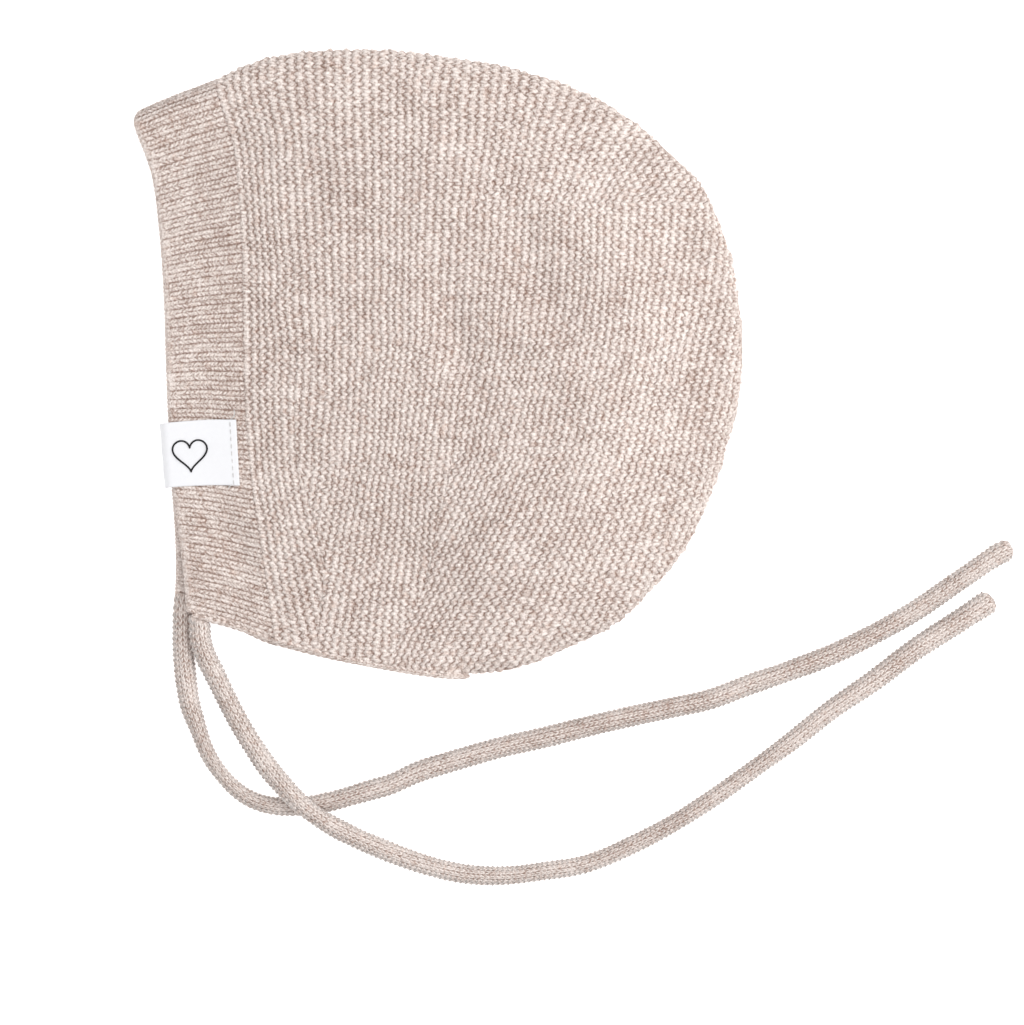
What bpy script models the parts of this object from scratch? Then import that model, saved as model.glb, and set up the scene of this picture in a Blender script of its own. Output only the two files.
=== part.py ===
"""Knitted baby bonnet lying on its side, with a rib band, a neck edging, a folded label and two knitted ties.

The bonnet lies in the XY plane: its face opening looks to -X, its top to +Y and the neck edge runs along -Y.
The far layer lies on z = 0 and the near layer domes above it.
"""
import math

import bmesh
import bpy
import numpy as np
from mathutils import Vector

# Driving sizes in metres.
BONNET_LENGTH = 0.1700
BONNET_HEIGHT = 0.1750
BAND_WIDTH = 0.0234
BAND_WALL = 0.0036
CROWN_WALL = 0.0025
FOLD_SPACE = 0.0038
PUFF = 0.0150
PUFF_REACH = 0.0380
EDGING_THICKNESS = 0.0028
EDGING_DEPTH = 0.0010
LABEL_WIDTH = 0.0180
LABEL_REACH = 0.0228
LABEL_THICKNESS = 0.0004
TIE_DIAMETER = 0.0050
FAR_CORNER_FORWARD = 0.0031
FAR_CORNER_RISE = 0.0050
FAR_HEM_DROP = 0.0012
CLEARANCE = 0.0003

# The outer radius of the folds at the top and the back leaves the fold space inside the thickest wall.
FOLD_RADIUS = FOLD_SPACE / 2 + max(BAND_WALL, CROWN_WALL)

# Front edge and back fold at even heights from their low end up: x as a share of the bonnet's length.
FRONT_EDGE = (-0.416, -0.4255, -0.438, -0.445, -0.449, -0.452, -0.459, -0.473, -0.5066)
BACK_FOLD = (0.466, 0.488, 0.499, 0.495, 0.484)
# Seam of band and crown at even heights: its distance from the front edge in band widths.
SEAM = (1.07, 1.00, 0.965, 1.00, 1.03)

# Sections from the front edge to the back fold, a row for each.
# part: what the shares cross. low, middle, high: share of the way across that part at the section's low end,
# middle and high end. low_y, high_y: its ends as shares of the bonnet's height.
# neck, belly, top: how far the near layer lifts there, as shares of the puff.
SECTIONS = (
    # part, low, middle, high, low_y, high_y, neck, belly, top
    ("band", 0.000, 0.000, 0.000, -0.392, 0.397, -0.10, 0.42, 0.10),
    ("band", 0.500, 0.500, 0.500, -0.410, 0.427, -0.06, 0.50, 0.18),
    ("crown", 0.000, 0.000, 0.000, -0.434, 0.453, 0.02, 0.60, 0.30),
    ("crown", 0.108, 0.110, 0.099, -0.456, 0.487, 0.12, 0.74, 0.48),
    ("crown", 0.220, 0.215, 0.219, -0.474, 0.4995, 0.20, 0.88, 0.64),
    ("crown", 0.333, 0.321, 0.335, -0.488, 0.4995, 0.28, 0.97, 0.76),
    ("crown", 0.425, 0.427, 0.452, -0.493, 0.489, 0.50, 1.00, 0.84),
    ("crown", 0.546, 0.543, 0.578, -0.482, 0.470, 0.80, 1.00, 0.88),
    ("crown", 0.652, 0.654, 0.694, -0.451, 0.439, 0.88, 0.98, 0.88),
    ("crown", 0.753, 0.758, 0.797, -0.416, 0.393, 0.88, 0.94, 0.86),
    ("crown", 0.845, 0.851, 0.880, -0.356, 0.334, 0.84, 0.88, 0.82),
    ("crown", 0.928, 0.926, 0.946, -0.279, 0.275, 0.80, 0.82, 0.78),
    ("crown", 1.000, 1.000, 1.000, -0.160, 0.164, 0.75, 0.75, 0.75),
)
SEAM_ROW = 2
NAPE_ROW = 6
BACK_ROW = len(SECTIONS) - 1

# Soft dents and swells of the near layer, a row for each.
# x, y: centre as shares of length and height. reach, width: half sizes as shares of the length.
# turn: degrees from +X. lift: height as a share of the puff.
DENTS = (
    # x, y, reach, width, turn, lift
    (0.031, 0.035, 0.105, 0.030, 106, -0.12),
    (0.168, 0.025, 0.150, 0.032, 136, 0.07),
    (0.152, 0.150, 0.115, 0.036, 114, -0.11),
    (-0.055, -0.292, 0.095, 0.048, 8, -0.11),
    (-0.325, -0.290, 0.060, 0.028, 118, -0.08),
)

# Label: centre along the front edge from its low end up, and how its low and high edge rise over the ribs.
LABEL_CENTRE = 0.313
LABEL_LEAN = (0.125, 0.067)

# Tie routes, chosen by hand. x, y in metres, lift: how high the tie's underside lies, in tie diameters.
NEAR_TIE = (
    # x, y, lift
    (-0.0655, -0.0727, 0.96),
    (-0.0658, -0.0775, 0.70),
    (-0.0642, -0.0820, 0.46),
    (-0.0618, -0.0868, 0.26),
    (-0.0584, -0.0945, 0.12),
    (-0.0535, -0.1030, 0.16),
    (-0.0477, -0.1117, 0.52),
    (-0.0430, -0.1172, 0.92),
    (-0.0382, -0.1222, 1.10),
    (-0.0320, -0.1268, 0.92),
    (-0.0245, -0.1310, 0.48),
    (-0.0160, -0.1348, 0.14),
    (-0.0047, -0.1390, 0.02),
    (0.0067, -0.1418, 0.02),
    (0.0181, -0.1424, 0.02),
    (0.0296, -0.1411, 0.02),
    (0.0410, -0.1392, 0.02),
    (0.0525, -0.1346, 0.02),
    (0.0642, -0.1286, 0.02),
    (0.0756, -0.1215, 0.02),
    (0.0870, -0.1134, 0.02),
    (0.0985, -0.1050, 0.02),
    (0.1099, -0.0960, 0.02),
    (0.1214, -0.0881, 0.02),
    (0.1328, -0.0795, 0.02),
    (0.1442, -0.0721, 0.02),
    (0.1548, -0.0652, 0.02),
)
FAR_TIE = (
    # x, y, lift
    (-0.0712, -0.0672, 0.02),
    (-0.0717, -0.0712, 0.02),
    (-0.0709, -0.0812, 0.02),
    (-0.0695, -0.0930, 0.02),
    (-0.0672, -0.1005, 0.02),
    (-0.0639, -0.1089, 0.02),
    (-0.0591, -0.1156, 0.02),
    (-0.0536, -0.1203, 0.02),
    (-0.0469, -0.1228, 0.02),
    (-0.0385, -0.1231, 0.02),
    (-0.0299, -0.1217, 0.02),
    (-0.0204, -0.1190, 0.02),
    (-0.0131, -0.1169, 0.02),
    (-0.0047, -0.1132, 0.02),
    (0.0067, -0.1097, 0.02),
    (0.0181, -0.1065, 0.02),
    (0.0296, -0.1039, 0.02),
    (0.0410, -0.1010, 0.02),
    (0.0525, -0.0983, 0.02),
    (0.0642, -0.0958, 0.02),
    (0.0756, -0.0933, 0.02),
    (0.0870, -0.0891, 0.02),
    (0.0985, -0.0851, 0.02),
    (0.1099, -0.0807, 0.02),
    (0.1214, -0.0751, 0.02),
    (0.1328, -0.0687, 0.02),
    (0.1442, -0.0609, 0.02),
    (0.1557, -0.0531, 0.02),
    (0.1602, -0.0514, 0.02),
)
TIE_POINTS = 38

KNIT_COLOUR = (0.640, 0.520, 0.465, 1.0)
BAND_COLOUR = (0.600, 0.490, 0.440, 1.0)
LABEL_COLOUR = (0.900, 0.900, 0.890, 1.0)


def clear_scene():
    for old in list(bpy.data.objects):
        bpy.data.objects.remove(old, do_unlink=True)


def cloth_material(name, colour, roughness):
    material = bpy.data.materials.new(name)
    material.use_nodes = True
    shader = material.node_tree.nodes["Principled BSDF"]
    shader.inputs["Base Color"].default_value = colour
    shader.inputs["Roughness"].default_value = roughness
    shader.inputs["Metallic"].default_value = 0.0
    material.diffuse_color = colour
    return material


def smooth_between(values, at):
    """Catmull-Rom value at a place counted in rows."""
    last = len(values) - 1
    at = min(max(at, 0.0), float(last))
    row = min(int(at), last - 1)
    share = at - row
    before = values[max(row - 1, 0)]
    first = values[row]
    second = values[row + 1]
    after = values[min(row + 2, last)]
    return first + 0.5 * share * (
        second - before
        + share * (2 * before - 5 * first + 4 * second - after + share * (3 * (first - second) + after - before))
    )


def up_the_edge(values, height):
    """Value at a height from 0 to 1, from values at even heights."""
    return smooth_between(values, height * (len(values) - 1))


def column(name):
    names = ("part", "low", "middle", "high", "low_y", "high_y", "neck", "belly", "top")
    return [row[names.index(name)] for row in SECTIONS]


def section_point(row, height):
    """Plan point of one section at a height from 0 at its low end to 1 at its high end."""
    part, low, middle, high, low_y, high_y = SECTIONS[row][:6]
    across = up_the_edge((low, middle, high), height)
    front = up_the_edge(FRONT_EDGE, height) * BONNET_LENGTH
    seam = front + up_the_edge(SEAM, height) * BAND_WIDTH
    back = up_the_edge(BACK_FOLD, height) * BONNET_LENGTH
    start, end = (front, seam) if part == "band" else (seam, back)
    y = (low_y + (high_y - low_y) * height) * BONNET_HEIGHT
    return Vector((start + (end - start) * across, y))


def plan_point(row, height):
    """Plan point between sections, on a smooth curve through them."""
    first = min(max(int(row), 0), BACK_ROW - 1)
    rows = [min(max(first + step, 0), BACK_ROW) for step in (-1, 0, 1, 2)]
    points = [section_point(each, height) for each in rows]
    share = row - first
    x = smooth_between([p.x for p in points], 1 + share)
    y = smooth_between([p.y for p in points], 1 + share)
    return Vector((x, y))


def fold_line():
    """The plan line of the fold: over the top, down the back and along the bottom to the nape."""
    fine = 16
    line = [plan_point(i / fine, 1.0) for i in range(BACK_ROW * fine + 1)]
    line += [plan_point(BACK_ROW, 1 - i / fine / 2) for i in range(1, 2 * fine)]
    line += [plan_point(i / fine, 0.0) for i in range(BACK_ROW * fine, NAPE_ROW * fine - 1, -1)]
    # It starts ahead of the front edge, so that distances near the front corner are square to it.
    line.insert(0, line[0] + (line[0] - line[4]).normalized() * FOLD_RADIUS * 3)
    return np.array([tuple(p) for p in line])


FOLD = fold_line()


def fold_distance(point):
    """Distance from a plan point to the fold line and the direction away from the line."""
    start = FOLD[:-1]
    step = FOLD[1:] - start
    reach = np.array((point.x, point.y)) - start
    share = np.clip((reach * step).sum(1) / (step * step).sum(1), 0.0, 1.0)
    away = reach - step * share[:, None]
    distance = np.hypot(away[:, 0], away[:, 1])
    nearest = int(distance.argmin())
    least = float(distance[nearest])
    along = Vector(step[nearest]).normalized()
    inward = Vector((along.y, -along.x))
    if nearest == len(step) - 1 and share[nearest] > 0.999:
        # Round the nape the wall turns from the fold to the neck edge.
        inward = (inward + along).normalized()
    if least > 1e-5:
        inward = Vector(away[nearest]) / least
    return least, inward


def ease(share):
    share = min(max(share, 0.0), 1.0)
    return share * share * (3 - 2 * share)


NECK_LIFT = column("neck")
BELLY_LIFT = column("belly")
TOP_LIFT = column("top")


def near_lift(row, height, plan, distance):
    """How far the near layer stands above the folded height."""
    lifts = [smooth_between(lift, row) for lift in (NECK_LIFT, BELLY_LIFT, TOP_LIFT)]
    lift = up_the_edge(lifts, height)
    for x, y, reach, width, turn, depth in DENTS:
        away = plan - Vector((x * BONNET_LENGTH, y * BONNET_HEIGHT))
        turned = Vector((math.cos(math.radians(turn)), math.sin(math.radians(turn))))
        along = away.dot(turned) / (reach * BONNET_LENGTH)
        across = (away.x * turned.y - away.y * turned.x) / (width * BONNET_LENGTH)
        lift += depth * math.exp(-along * along - across * across)
    return PUFF * lift * ease(distance / PUFF_REACH)


def far_shift(row, height):
    """The far layer shows a little past the near one at the front corner and along the neck edge."""
    near_front = 1 - ease(row / SEAM_ROW)
    before_nape = 1 - ease(row / NAPE_ROW)
    low = (1 - height) ** 5
    rise = FAR_CORNER_RISE * near_front - FAR_HEM_DROP * (before_nape - near_front)
    return Vector((-FAR_CORNER_FORWARD * near_front, rise)) * low


def layer_point(row, height, side, depth, fold=False):
    """A point of the near (side 1) or far (side -1) layer, depth below its outer surface."""
    plan = plan_point(row, height)
    distance, inward = fold_distance(plan)
    if fold:
        distance = 0.0
    curl = max(FOLD_RADIUS - distance, 0.0) / FOLD_RADIUS
    rise = (FOLD_RADIUS - depth) * math.sqrt(1 - curl * curl)
    z = FOLD_RADIUS + side * rise
    if side > 0:
        z += near_lift(row, height, plan, distance)
    else:
        plan = plan + far_shift(row, height) * ease(distance / PUFF_REACH)
    plan = plan + inward * (depth * curl)
    return Vector((plan.x, plan.y, z))


def row_step(row, height, length):
    """How many rows a length along the knit takes there."""
    step = 0.02
    ahead = plan_point(min(row + step, BACK_ROW), height)
    behind = plan_point(max(row - step, 0), height)
    rows = min(row + step, BACK_ROW) - max(row - step, 0)
    return length * rows / (ahead - behind).length


def fold_inset(angle):
    """Plan distance from a fold at which the surface has turned through an angle in degrees."""
    return FOLD_RADIUS * (1 - math.cos(math.radians(angle)))


def fold_insets():
    """Distances from a fold that turn it through even angles, and two more to ease into the layer."""
    return [fold_inset(angle) for angle in (0, 30, 50, 70, 90)] + [FOLD_RADIUS * 1.9, FOLD_RADIUS * 3.4]


def even_heights(middle_steps):
    """Heights of the grid lines as (share of the section, distance from that end)."""
    insets = fold_insets()
    low = [(0.0, inset) for inset in insets]
    high = [(1.0, -inset) for inset in reversed(insets)]
    return low + [(i / middle_steps, None) for i in range(1, middle_steps)] + high


def height_on(row, mark):
    """A grid line's height on one section, from its mark."""
    share, inset = mark
    length = (plan_point(row, 1.0) - plan_point(row, 0.0)).length
    last = fold_insets()[-1] / length
    if inset is None:
        return last + (1 - 2 * last) * share
    return share + inset / length


def add_face(bm, corners):
    """A face of the corners that differ."""
    kept = []
    for corner in corners:
        if corner not in kept:
            kept.append(corner)
    if len(kept) > 2:
        bm.faces.new(kept)


def finish_mesh(bm, name, material):
    bmesh.ops.recalc_face_normals(bm, faces=bm.faces)
    mesh = bpy.data.meshes.new(name)
    bm.to_mesh(mesh)
    bm.free()
    mesh.materials.append(material)
    mesh.shade_smooth()
    mesh.set_sharp_from_angle(angle=math.radians(50))
    thing = bpy.data.objects.new(name, mesh)
    bpy.context.collection.objects.link(thing)
    return thing


def knit_shell(name, columns, marks, wall, closed_back, nose, material):
    """A folded shell of even wall. columns are functions from a height to a row, from the front."""
    bm = bmesh.new()
    last = len(columns) - 1
    top = len(marks) - 1
    points = {}
    for i, where in enumerate(columns):
        for j, mark in enumerate(marks):
            height = height_on(where(0.5), mark)
            row = where(height)
            on_fold = j == top or (closed_back and i == last) or (j == 0 and row >= NAPE_ROW - 1e-4)
            for side in (1, -1):
                if on_fold and side < 0:
                    for skin in (0, 1):
                        points[i, j, side, skin] = points[i, j, 1, skin]
                    continue
                outer = layer_point(row, height, side, 0.0, on_fold)
                inner = layer_point(row, height, side, wall, on_fold)
                points[i, j, side, 0] = bm.verts.new(outer)
                points[i, j, side, 1] = bm.verts.new(inner)
    for i in range(last):
        for j in range(top):
            for side in (1, -1):
                for skin in (0, 1):
                    corners = [points[a, b, side, skin] for a, b in ((i, j), (i + 1, j), (i + 1, j + 1), (i, j + 1))]
                    add_face(bm, corners)
    # The neck edge, up to the nape.
    for i in range(last):
        if columns[i + 1](0.0) > NAPE_ROW + 1e-4:
            continue
        for side in (1, -1):
            add_face(bm, [points[i, 0, side, 0], points[i + 1, 0, side, 0],
                          points[i + 1, 0, side, 1], points[i, 0, side, 1]])
    rounded_end(bm, points, 0, top, nose)
    if not closed_back:
        rounded_end(bm, points, last, top, 0.0)
    return finish_mesh(bm, name, material)


def rounded_end(bm, points, i, top, nose):
    """Closes the front or seam end of a shell, with a round nose where one is given."""
    arcs = {}
    for j in range(top + 1):
        for side in (1, -1):
            if j == top and side < 0:
                arcs[j, side] = arcs[j, 1]
                continue
            outer = points[i, j, side, 0]
            inner = points[i, j, side, 1]
            arcs[j, side] = [outer, inner]
            if nose > 0:
                middle = (outer.co + inner.co) / 2
                out = (outer.co - inner.co) / 2
                along = (middle - (points[i + 1, j, side, 0].co + points[i + 1, j, side, 1].co) / 2)
                ahead = (along - out * along.dot(out) / out.length_squared).normalized() * nose
                turns = [math.radians(angle) for angle in (35, 65, 90, 115, 145)]
                arc = [bm.verts.new(middle + out * math.cos(turn) + ahead * math.sin(turn)) for turn in turns]
                arcs[j, side] = [outer] + arc + [inner]
    for j in range(top):
        for side in (1, -1):
            low = arcs[j, side]
            high = arcs[j + 1, side]
            for k in range(len(low) - 1):
                add_face(bm, [low[k], high[k], high[k + 1], low[k + 1]])
    if nose > 0:
        # The nose's open ends on the neck edge.
        for side in (1, -1):
            add_face(bm, arcs[0, side])


def front_band(material):
    nose = BAND_WALL / 2
    middle_columns = 4

    def column_at(k):
        def where(height):
            first = row_step(0.0, height, nose)
            final = SEAM_ROW - row_step(SEAM_ROW, height, CLEARANCE / 2)
            return first + (final - first) * k / middle_columns
        return where

    columns = [column_at(k) for k in range(middle_columns + 1)]
    return knit_shell("front_band", columns, even_heights(12), BAND_WALL, False, nose, material)


def crown(material):
    per_section = 3
    first_back = (BACK_ROW - 1) * per_section

    def column_at(row):
        def where(height):
            shift = row_step(SEAM_ROW, height, CLEARANCE / 2)
            return row + shift * max(0.0, 1 - (row - SEAM_ROW) * per_section)
        return where

    def back_column(inset):
        def where(height):
            return BACK_ROW - row_step(BACK_ROW, 0.5, inset)
        return where

    def nape_column(inset):
        def where(height):
            return NAPE_ROW - row_step(NAPE_ROW, 0.0, inset)
        return where

    rows = [k / per_section for k in range(SEAM_ROW * per_section, first_back + 1)]
    columns = [column_at(row) for row in rows if row < NAPE_ROW]
    columns += [nape_column(inset) for inset in reversed(fold_insets()[1:4])]
    columns += [column_at(row) for row in rows if row >= NAPE_ROW]
    turns = [inset for inset in fold_insets() if row_step(BACK_ROW, 0.5, inset) < 0.9]
    columns += [back_column(inset) for inset in reversed(turns)]
    return knit_shell("crown", columns, even_heights(12), CROWN_WALL, True, 0.0, material)


def closed_tube(name, rings, material):
    """A closed solid through rings of points."""
    bm = bmesh.new()
    made = [[bm.verts.new(point) for point in ring] for ring in rings]
    sides = len(rings[0])
    for first, second in zip(made, made[1:]):
        for k in range(sides):
            add_face(bm, [first[k], first[(k + 1) % sides], second[(k + 1) % sides], second[k]])
    add_face(bm, made[0])
    add_face(bm, made[-1])
    return finish_mesh(bm, name, material)


def neck_path():
    """Middle of the wall along the neck edge: near layer to the nape, then back along the far layer."""
    start = row_step(0.0, 0.0, BAND_WALL / 2)
    rows = [start + (SEAM_ROW - start) * k / 4 for k in range(4)]
    rows += [SEAM_ROW + (NAPE_ROW - 0.5 - SEAM_ROW) * k / 9 for k in range(10)]
    rows += [NAPE_ROW - row_step(NAPE_ROW, 0.0, fold_inset(angle)) for angle in (90, 60, 30)]
    near = [(row, 1) for row in rows]
    path = []
    for row, side in near + [(NAPE_ROW, 0)] + [(row, -1) for row, side in reversed(near)]:
        edge = layer_point(row, 0.0, side or 1, 0.0, side == 0)
        wall = BAND_WALL if row < SEAM_ROW else CROWN_WALL
        edge.z = max(layer_point(row, 0.0, side or 1, wall / 2, side == 0).z, EDGING_THICKNESS / 2)
        path.append((edge, row))
    return path


def neck_edging(material):
    path = neck_path()
    rings = []
    for k, (point, row) in enumerate(path):
        before = path[max(k - 1, 0)][0]
        after = path[min(k + 1, len(path) - 1)][0]
        along = (after - before).normalized()
        inside = plan_point(row, 0.06) - plan_point(row, 0.0)
        down = -Vector((inside.x, inside.y, 0.0))
        down = (down - along * down.dot(along)).normalized()
        out = along.cross(down)
        middle = point + down * (CLEARANCE + EDGING_DEPTH / 2)
        ring = []
        for angle in range(0, 360, 60):
            turn = math.radians(angle)
            proud = down * (EDGING_DEPTH / 2 * math.cos(turn))
            ring.append(middle + proud + out * (EDGING_THICKNESS / 2 * math.sin(turn)))
        rings.append(ring)
    return closed_tube("neck_edging", rings, material)


def label_path(height, lean, offset):
    """Points of one line of the folded label, offset from the band's faces, from outer end to inner end.

    The line starts at a height on the front edge, and its height grows by lean over each metre across the band.
    """
    nose = BAND_WALL / 2
    leaf = [LABEL_REACH + (nose - LABEL_REACH) * k / 3 for k in range(4)]
    places = [(row_step(0.5, height, inset), height + lean * inset) for inset in leaf]
    outer = [layer_point(row, at, 1, -offset) for row, at in places]
    inner = [layer_point(row, at, 1, BAND_WALL + offset) for row, at in places]
    middle = (outer[-1] + inner[-1]) / 2
    up = (outer[-1] - inner[-1]) / 2
    along = outer[-1] - outer[-2]
    ahead = (along - up * along.dot(up) / up.length_squared).normalized() * up.length
    turns = [math.radians(angle) for angle in (30, 60, 90, 120, 150)]
    bend = [middle + up * math.cos(turn) + ahead * math.sin(turn) for turn in turns]
    return outer + bend + list(reversed(inner))


def label(material):
    length = (plan_point(0, 1.0) - plan_point(0, 0.0)).length
    rings = []
    lines = 5
    for i in range(lines):
        share = i / (lines - 1)
        height = LABEL_CENTRE + (share - 0.5) * LABEL_WIDTH / length
        lean = (LABEL_LEAN[0] + (LABEL_LEAN[1] - LABEL_LEAN[0]) * share) / length
        close = label_path(height, lean, CLEARANCE)
        open_side = label_path(height, lean, CLEARANCE + LABEL_THICKNESS)
        rings.append(close + list(reversed(open_side)))
    bm = bmesh.new()
    made = [[bm.verts.new(point) for point in ring] for ring in rings]
    sides = len(rings[0])
    for first, second in zip(made, made[1:]):
        for k in range(sides):
            add_face(bm, [first[k], first[(k + 1) % sides], second[(k + 1) % sides], second[k]])
    # The two side edges are strips of quads between the faces of the tape.
    for edge in (made[0], made[-1]):
        for k in range(sides // 2 - 1):
            add_face(bm, [edge[k], edge[k + 1], edge[sides - 2 - k], edge[sides - 1 - k]])
    return finish_mesh(bm, "label", material)


def smooth_route(route, count):
    """Evenly spaced points on a smooth curve through the route's own points."""
    raised = [Vector((x, y, (lift + 0.5) * TIE_DIAMETER)) for x, y, lift in route]
    fine = 12
    dense = []
    for k in range((len(raised) - 1) * fine + 1):
        at = k / fine
        dense.append(Vector([smooth_between([p[axis] for p in raised], at) for axis in range(3)]))
    reach = [0.0]
    for first, second in zip(dense, dense[1:]):
        reach.append(reach[-1] + (second - first).length)
    even = []
    k = 0
    for i in range(count):
        goal = reach[-1] * i / (count - 1)
        while k < len(dense) - 2 and reach[k + 1] < goal:
            k += 1
        share = (goal - reach[k]) / (reach[k + 1] - reach[k])
        even.append(dense[k].lerp(dense[k + 1], share))
    return even


def knitted_tie(name, route, material):
    curve = bpy.data.curves.new(name, "CURVE")
    curve.dimensions = "3D"
    spline = curve.splines.new("POLY")
    points = smooth_route(route, TIE_POINTS)
    spline.points.add(len(points) - 1)
    for point, place in zip(spline.points, points):
        point.co = (place.x, place.y, place.z, 1.0)
    curve.bevel_depth = TIE_DIAMETER / 2
    curve.bevel_resolution = 2
    curve.use_fill_caps = True
    curve.materials.append(material)
    tie = bpy.data.objects.new(name, curve)
    bpy.context.collection.objects.link(tie)
    return tie


def main():
    clear_scene()
    knit = cloth_material("garter_knit", KNIT_COLOUR, 0.92)
    rib = cloth_material("rib_knit", BAND_COLOUR, 0.92)
    edging = cloth_material("bound_off_edging", KNIT_COLOUR, 0.9)
    tape = cloth_material("woven_label", LABEL_COLOUR, 0.7)
    cord = cloth_material("knitted_cord", BAND_COLOUR, 0.92)
    crown(knit)
    front_band(rib)
    neck_edging(edging)
    label(tape)
    knitted_tie("tie_near", NEAR_TIE, cord)
    knitted_tie("tie_far", FAR_TIE, cord)


main()
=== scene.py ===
"""Dresses a knitted baby bonnet: garter crown, rib band, neck edging, folded label and two knitted ties.

The file is laid out as an add-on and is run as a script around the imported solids, which it loads first.
Lengths are metres. The face opening looks to -X, the top of the head to +Y, and the far layer lies on z = 0.
"""
import math

import bpy
import numpy as np
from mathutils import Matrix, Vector


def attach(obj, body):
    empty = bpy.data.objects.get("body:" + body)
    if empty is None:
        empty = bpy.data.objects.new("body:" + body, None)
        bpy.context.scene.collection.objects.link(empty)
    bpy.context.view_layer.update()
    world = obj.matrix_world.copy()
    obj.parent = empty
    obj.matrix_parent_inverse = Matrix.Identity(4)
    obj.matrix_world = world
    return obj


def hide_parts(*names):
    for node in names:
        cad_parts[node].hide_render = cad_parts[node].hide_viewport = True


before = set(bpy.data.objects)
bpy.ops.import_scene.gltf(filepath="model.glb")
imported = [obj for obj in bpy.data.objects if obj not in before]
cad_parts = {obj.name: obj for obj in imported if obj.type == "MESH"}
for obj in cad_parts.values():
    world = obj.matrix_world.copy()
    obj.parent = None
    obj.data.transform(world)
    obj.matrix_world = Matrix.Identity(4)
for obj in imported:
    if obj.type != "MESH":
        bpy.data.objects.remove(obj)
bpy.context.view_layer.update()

bl_info = {
    "name": "Knitted Baby Bonnet",
    "version": (1, 0, 0),
    "blender": (4, 5, 0),
    "location": "3D View > Sidebar > Bonnet",
    "description": "Knits the crown, band, edging, label and ties of a baby bonnet around its packed solids",
    "category": "Object",
}

MM = 0.001

# Driving sizes of the solids that the knit follows, as they were built.
BONNET_LENGTH = 0.1700
BONNET_HEIGHT = 0.1750
BAND_WIDTH = 0.0234
BAND_WALL = 0.0036
CROWN_WALL = 0.0025
FOLD_SPACE = 0.0038
PUFF = 0.0150
PUFF_REACH = 0.0380
EDGING_THICKNESS = 0.0028
EDGING_DEPTH = 0.0010
LABEL_WIDTH = 0.0180
LABEL_REACH = 0.0228
LABEL_THICKNESS = 0.0004
LABEL_CENTRE = 0.313
LABEL_LEAN = (0.125, 0.067)
TIE_DIAMETER = 0.0050
FAR_CORNER_FORWARD = 0.0031
FAR_CORNER_RISE = 0.0050
FAR_HEM_DROP = 0.0012
CLEARANCE = 0.0003
FOLD_RADIUS = FOLD_SPACE / 2 + max(BAND_WALL, CROWN_WALL)
# The quarter turn of the fold is this much longer than its plan width.
FOLD_SPARE = FOLD_RADIUS * (math.pi / 2 - 1)
# The crown's first loops are tucked under the band's edge at the seam, where the solids keep their clearance.
SEAM_TUCK = 0.00030
# The lowest that the crown's loops, the ties, and the edging and fibres reach over the floor.
FLOOR_SPACE = 0.00003
TIE_FLOOR_SPACE = 0.00005
LOOSE_FLOOR_SPACE = 0.0001
# The floor's film lies this far under the bonnet.
FILM_DROP = 0.0002
FIBRE_WIDTH = 0.000045
# The share of a garter layer's relief that lies inside the solid, and of the rib's.
# More of it does on the far side, which meets the floor.
NEAR_SINK = 0.68
FAR_SINK = 1.12
RIB_SINK = 0.70
RIB_FLOOR_SINK = 1.05
# Relief of the loops drawn together along a dart, and of the row picked up at the seam.
# Then that row's width in ridges.
DART_RELIEF = 0.35
PICKED_UP_RELIEF = 0.50
PICKED_UP_WIDTH = 0.22
# Space between the crown's inner skin and the solid's.
# Then the share of triangles that is kept when that skin is lightened.
INNER_SPACE = 0.0001
INSIDE_SHARE = 0.58
# How far a garter loop sinks where it crosses over, and how far the groove is filled there.
LOOP_GAP = 0.40
GROOVE_FILL = 0.18
# How far a loop leans along its ridge, in stitches for a ridge's width.
LOOP_TURN = 0.16
# How much the strokes of V stitches differ in height.
STROKE_UNEVENNESS = 0.06
# The band is worn smooth for this width behind its front edge, more so with each stitch.
FOLD_REACH_BACK = 0.0032
FOLD_SMOOTHING = 0.6
# How much the columns of V stitches fill out to smooth ribs, how deep the gaps between their strokes are,
# and how strongly their relief paints highlight on the crests and shade in the gaps.
RIB_VALLEY = 0.22
RIB_STROKE = 0.27
RIB_PAINTED_SHADING = 0.98
TIE_VALLEY = 0.22
TIE_STROKE = 0.46
TIE_PAINTED_SHADING = 1.62
EDGING_VALLEY = 0.30
EDGING_STROKE = 0.38
EDGING_PAINTED_SHADING = 1.12
# How much painted light brightens a tie along its sides, and how strongly its slow patches differ.
TIE_SIDE_PAINTED_LIGHT = 0.40
TIE_MOTTLE = 0.62
# How many stitches a leg of a V runs along its column.
LEG_SLANT = 0.85
# The knit's far corner rolls forward by this much more than the solid.
FAR_CORNER_ROLL = 0.0007

# Front edge and back fold at even heights: x as a share of the length.
# Seam at even heights: distance from the front edge in band widths.
FRONT_EDGE = (-0.416, -0.4255, -0.438, -0.445, -0.449, -0.452, -0.459, -0.473, -0.5066)
BACK_FOLD = (0.466, 0.488, 0.499, 0.495, 0.484)
SEAM = (1.07, 1.00, 0.965, 1.00, 1.03)

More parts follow.
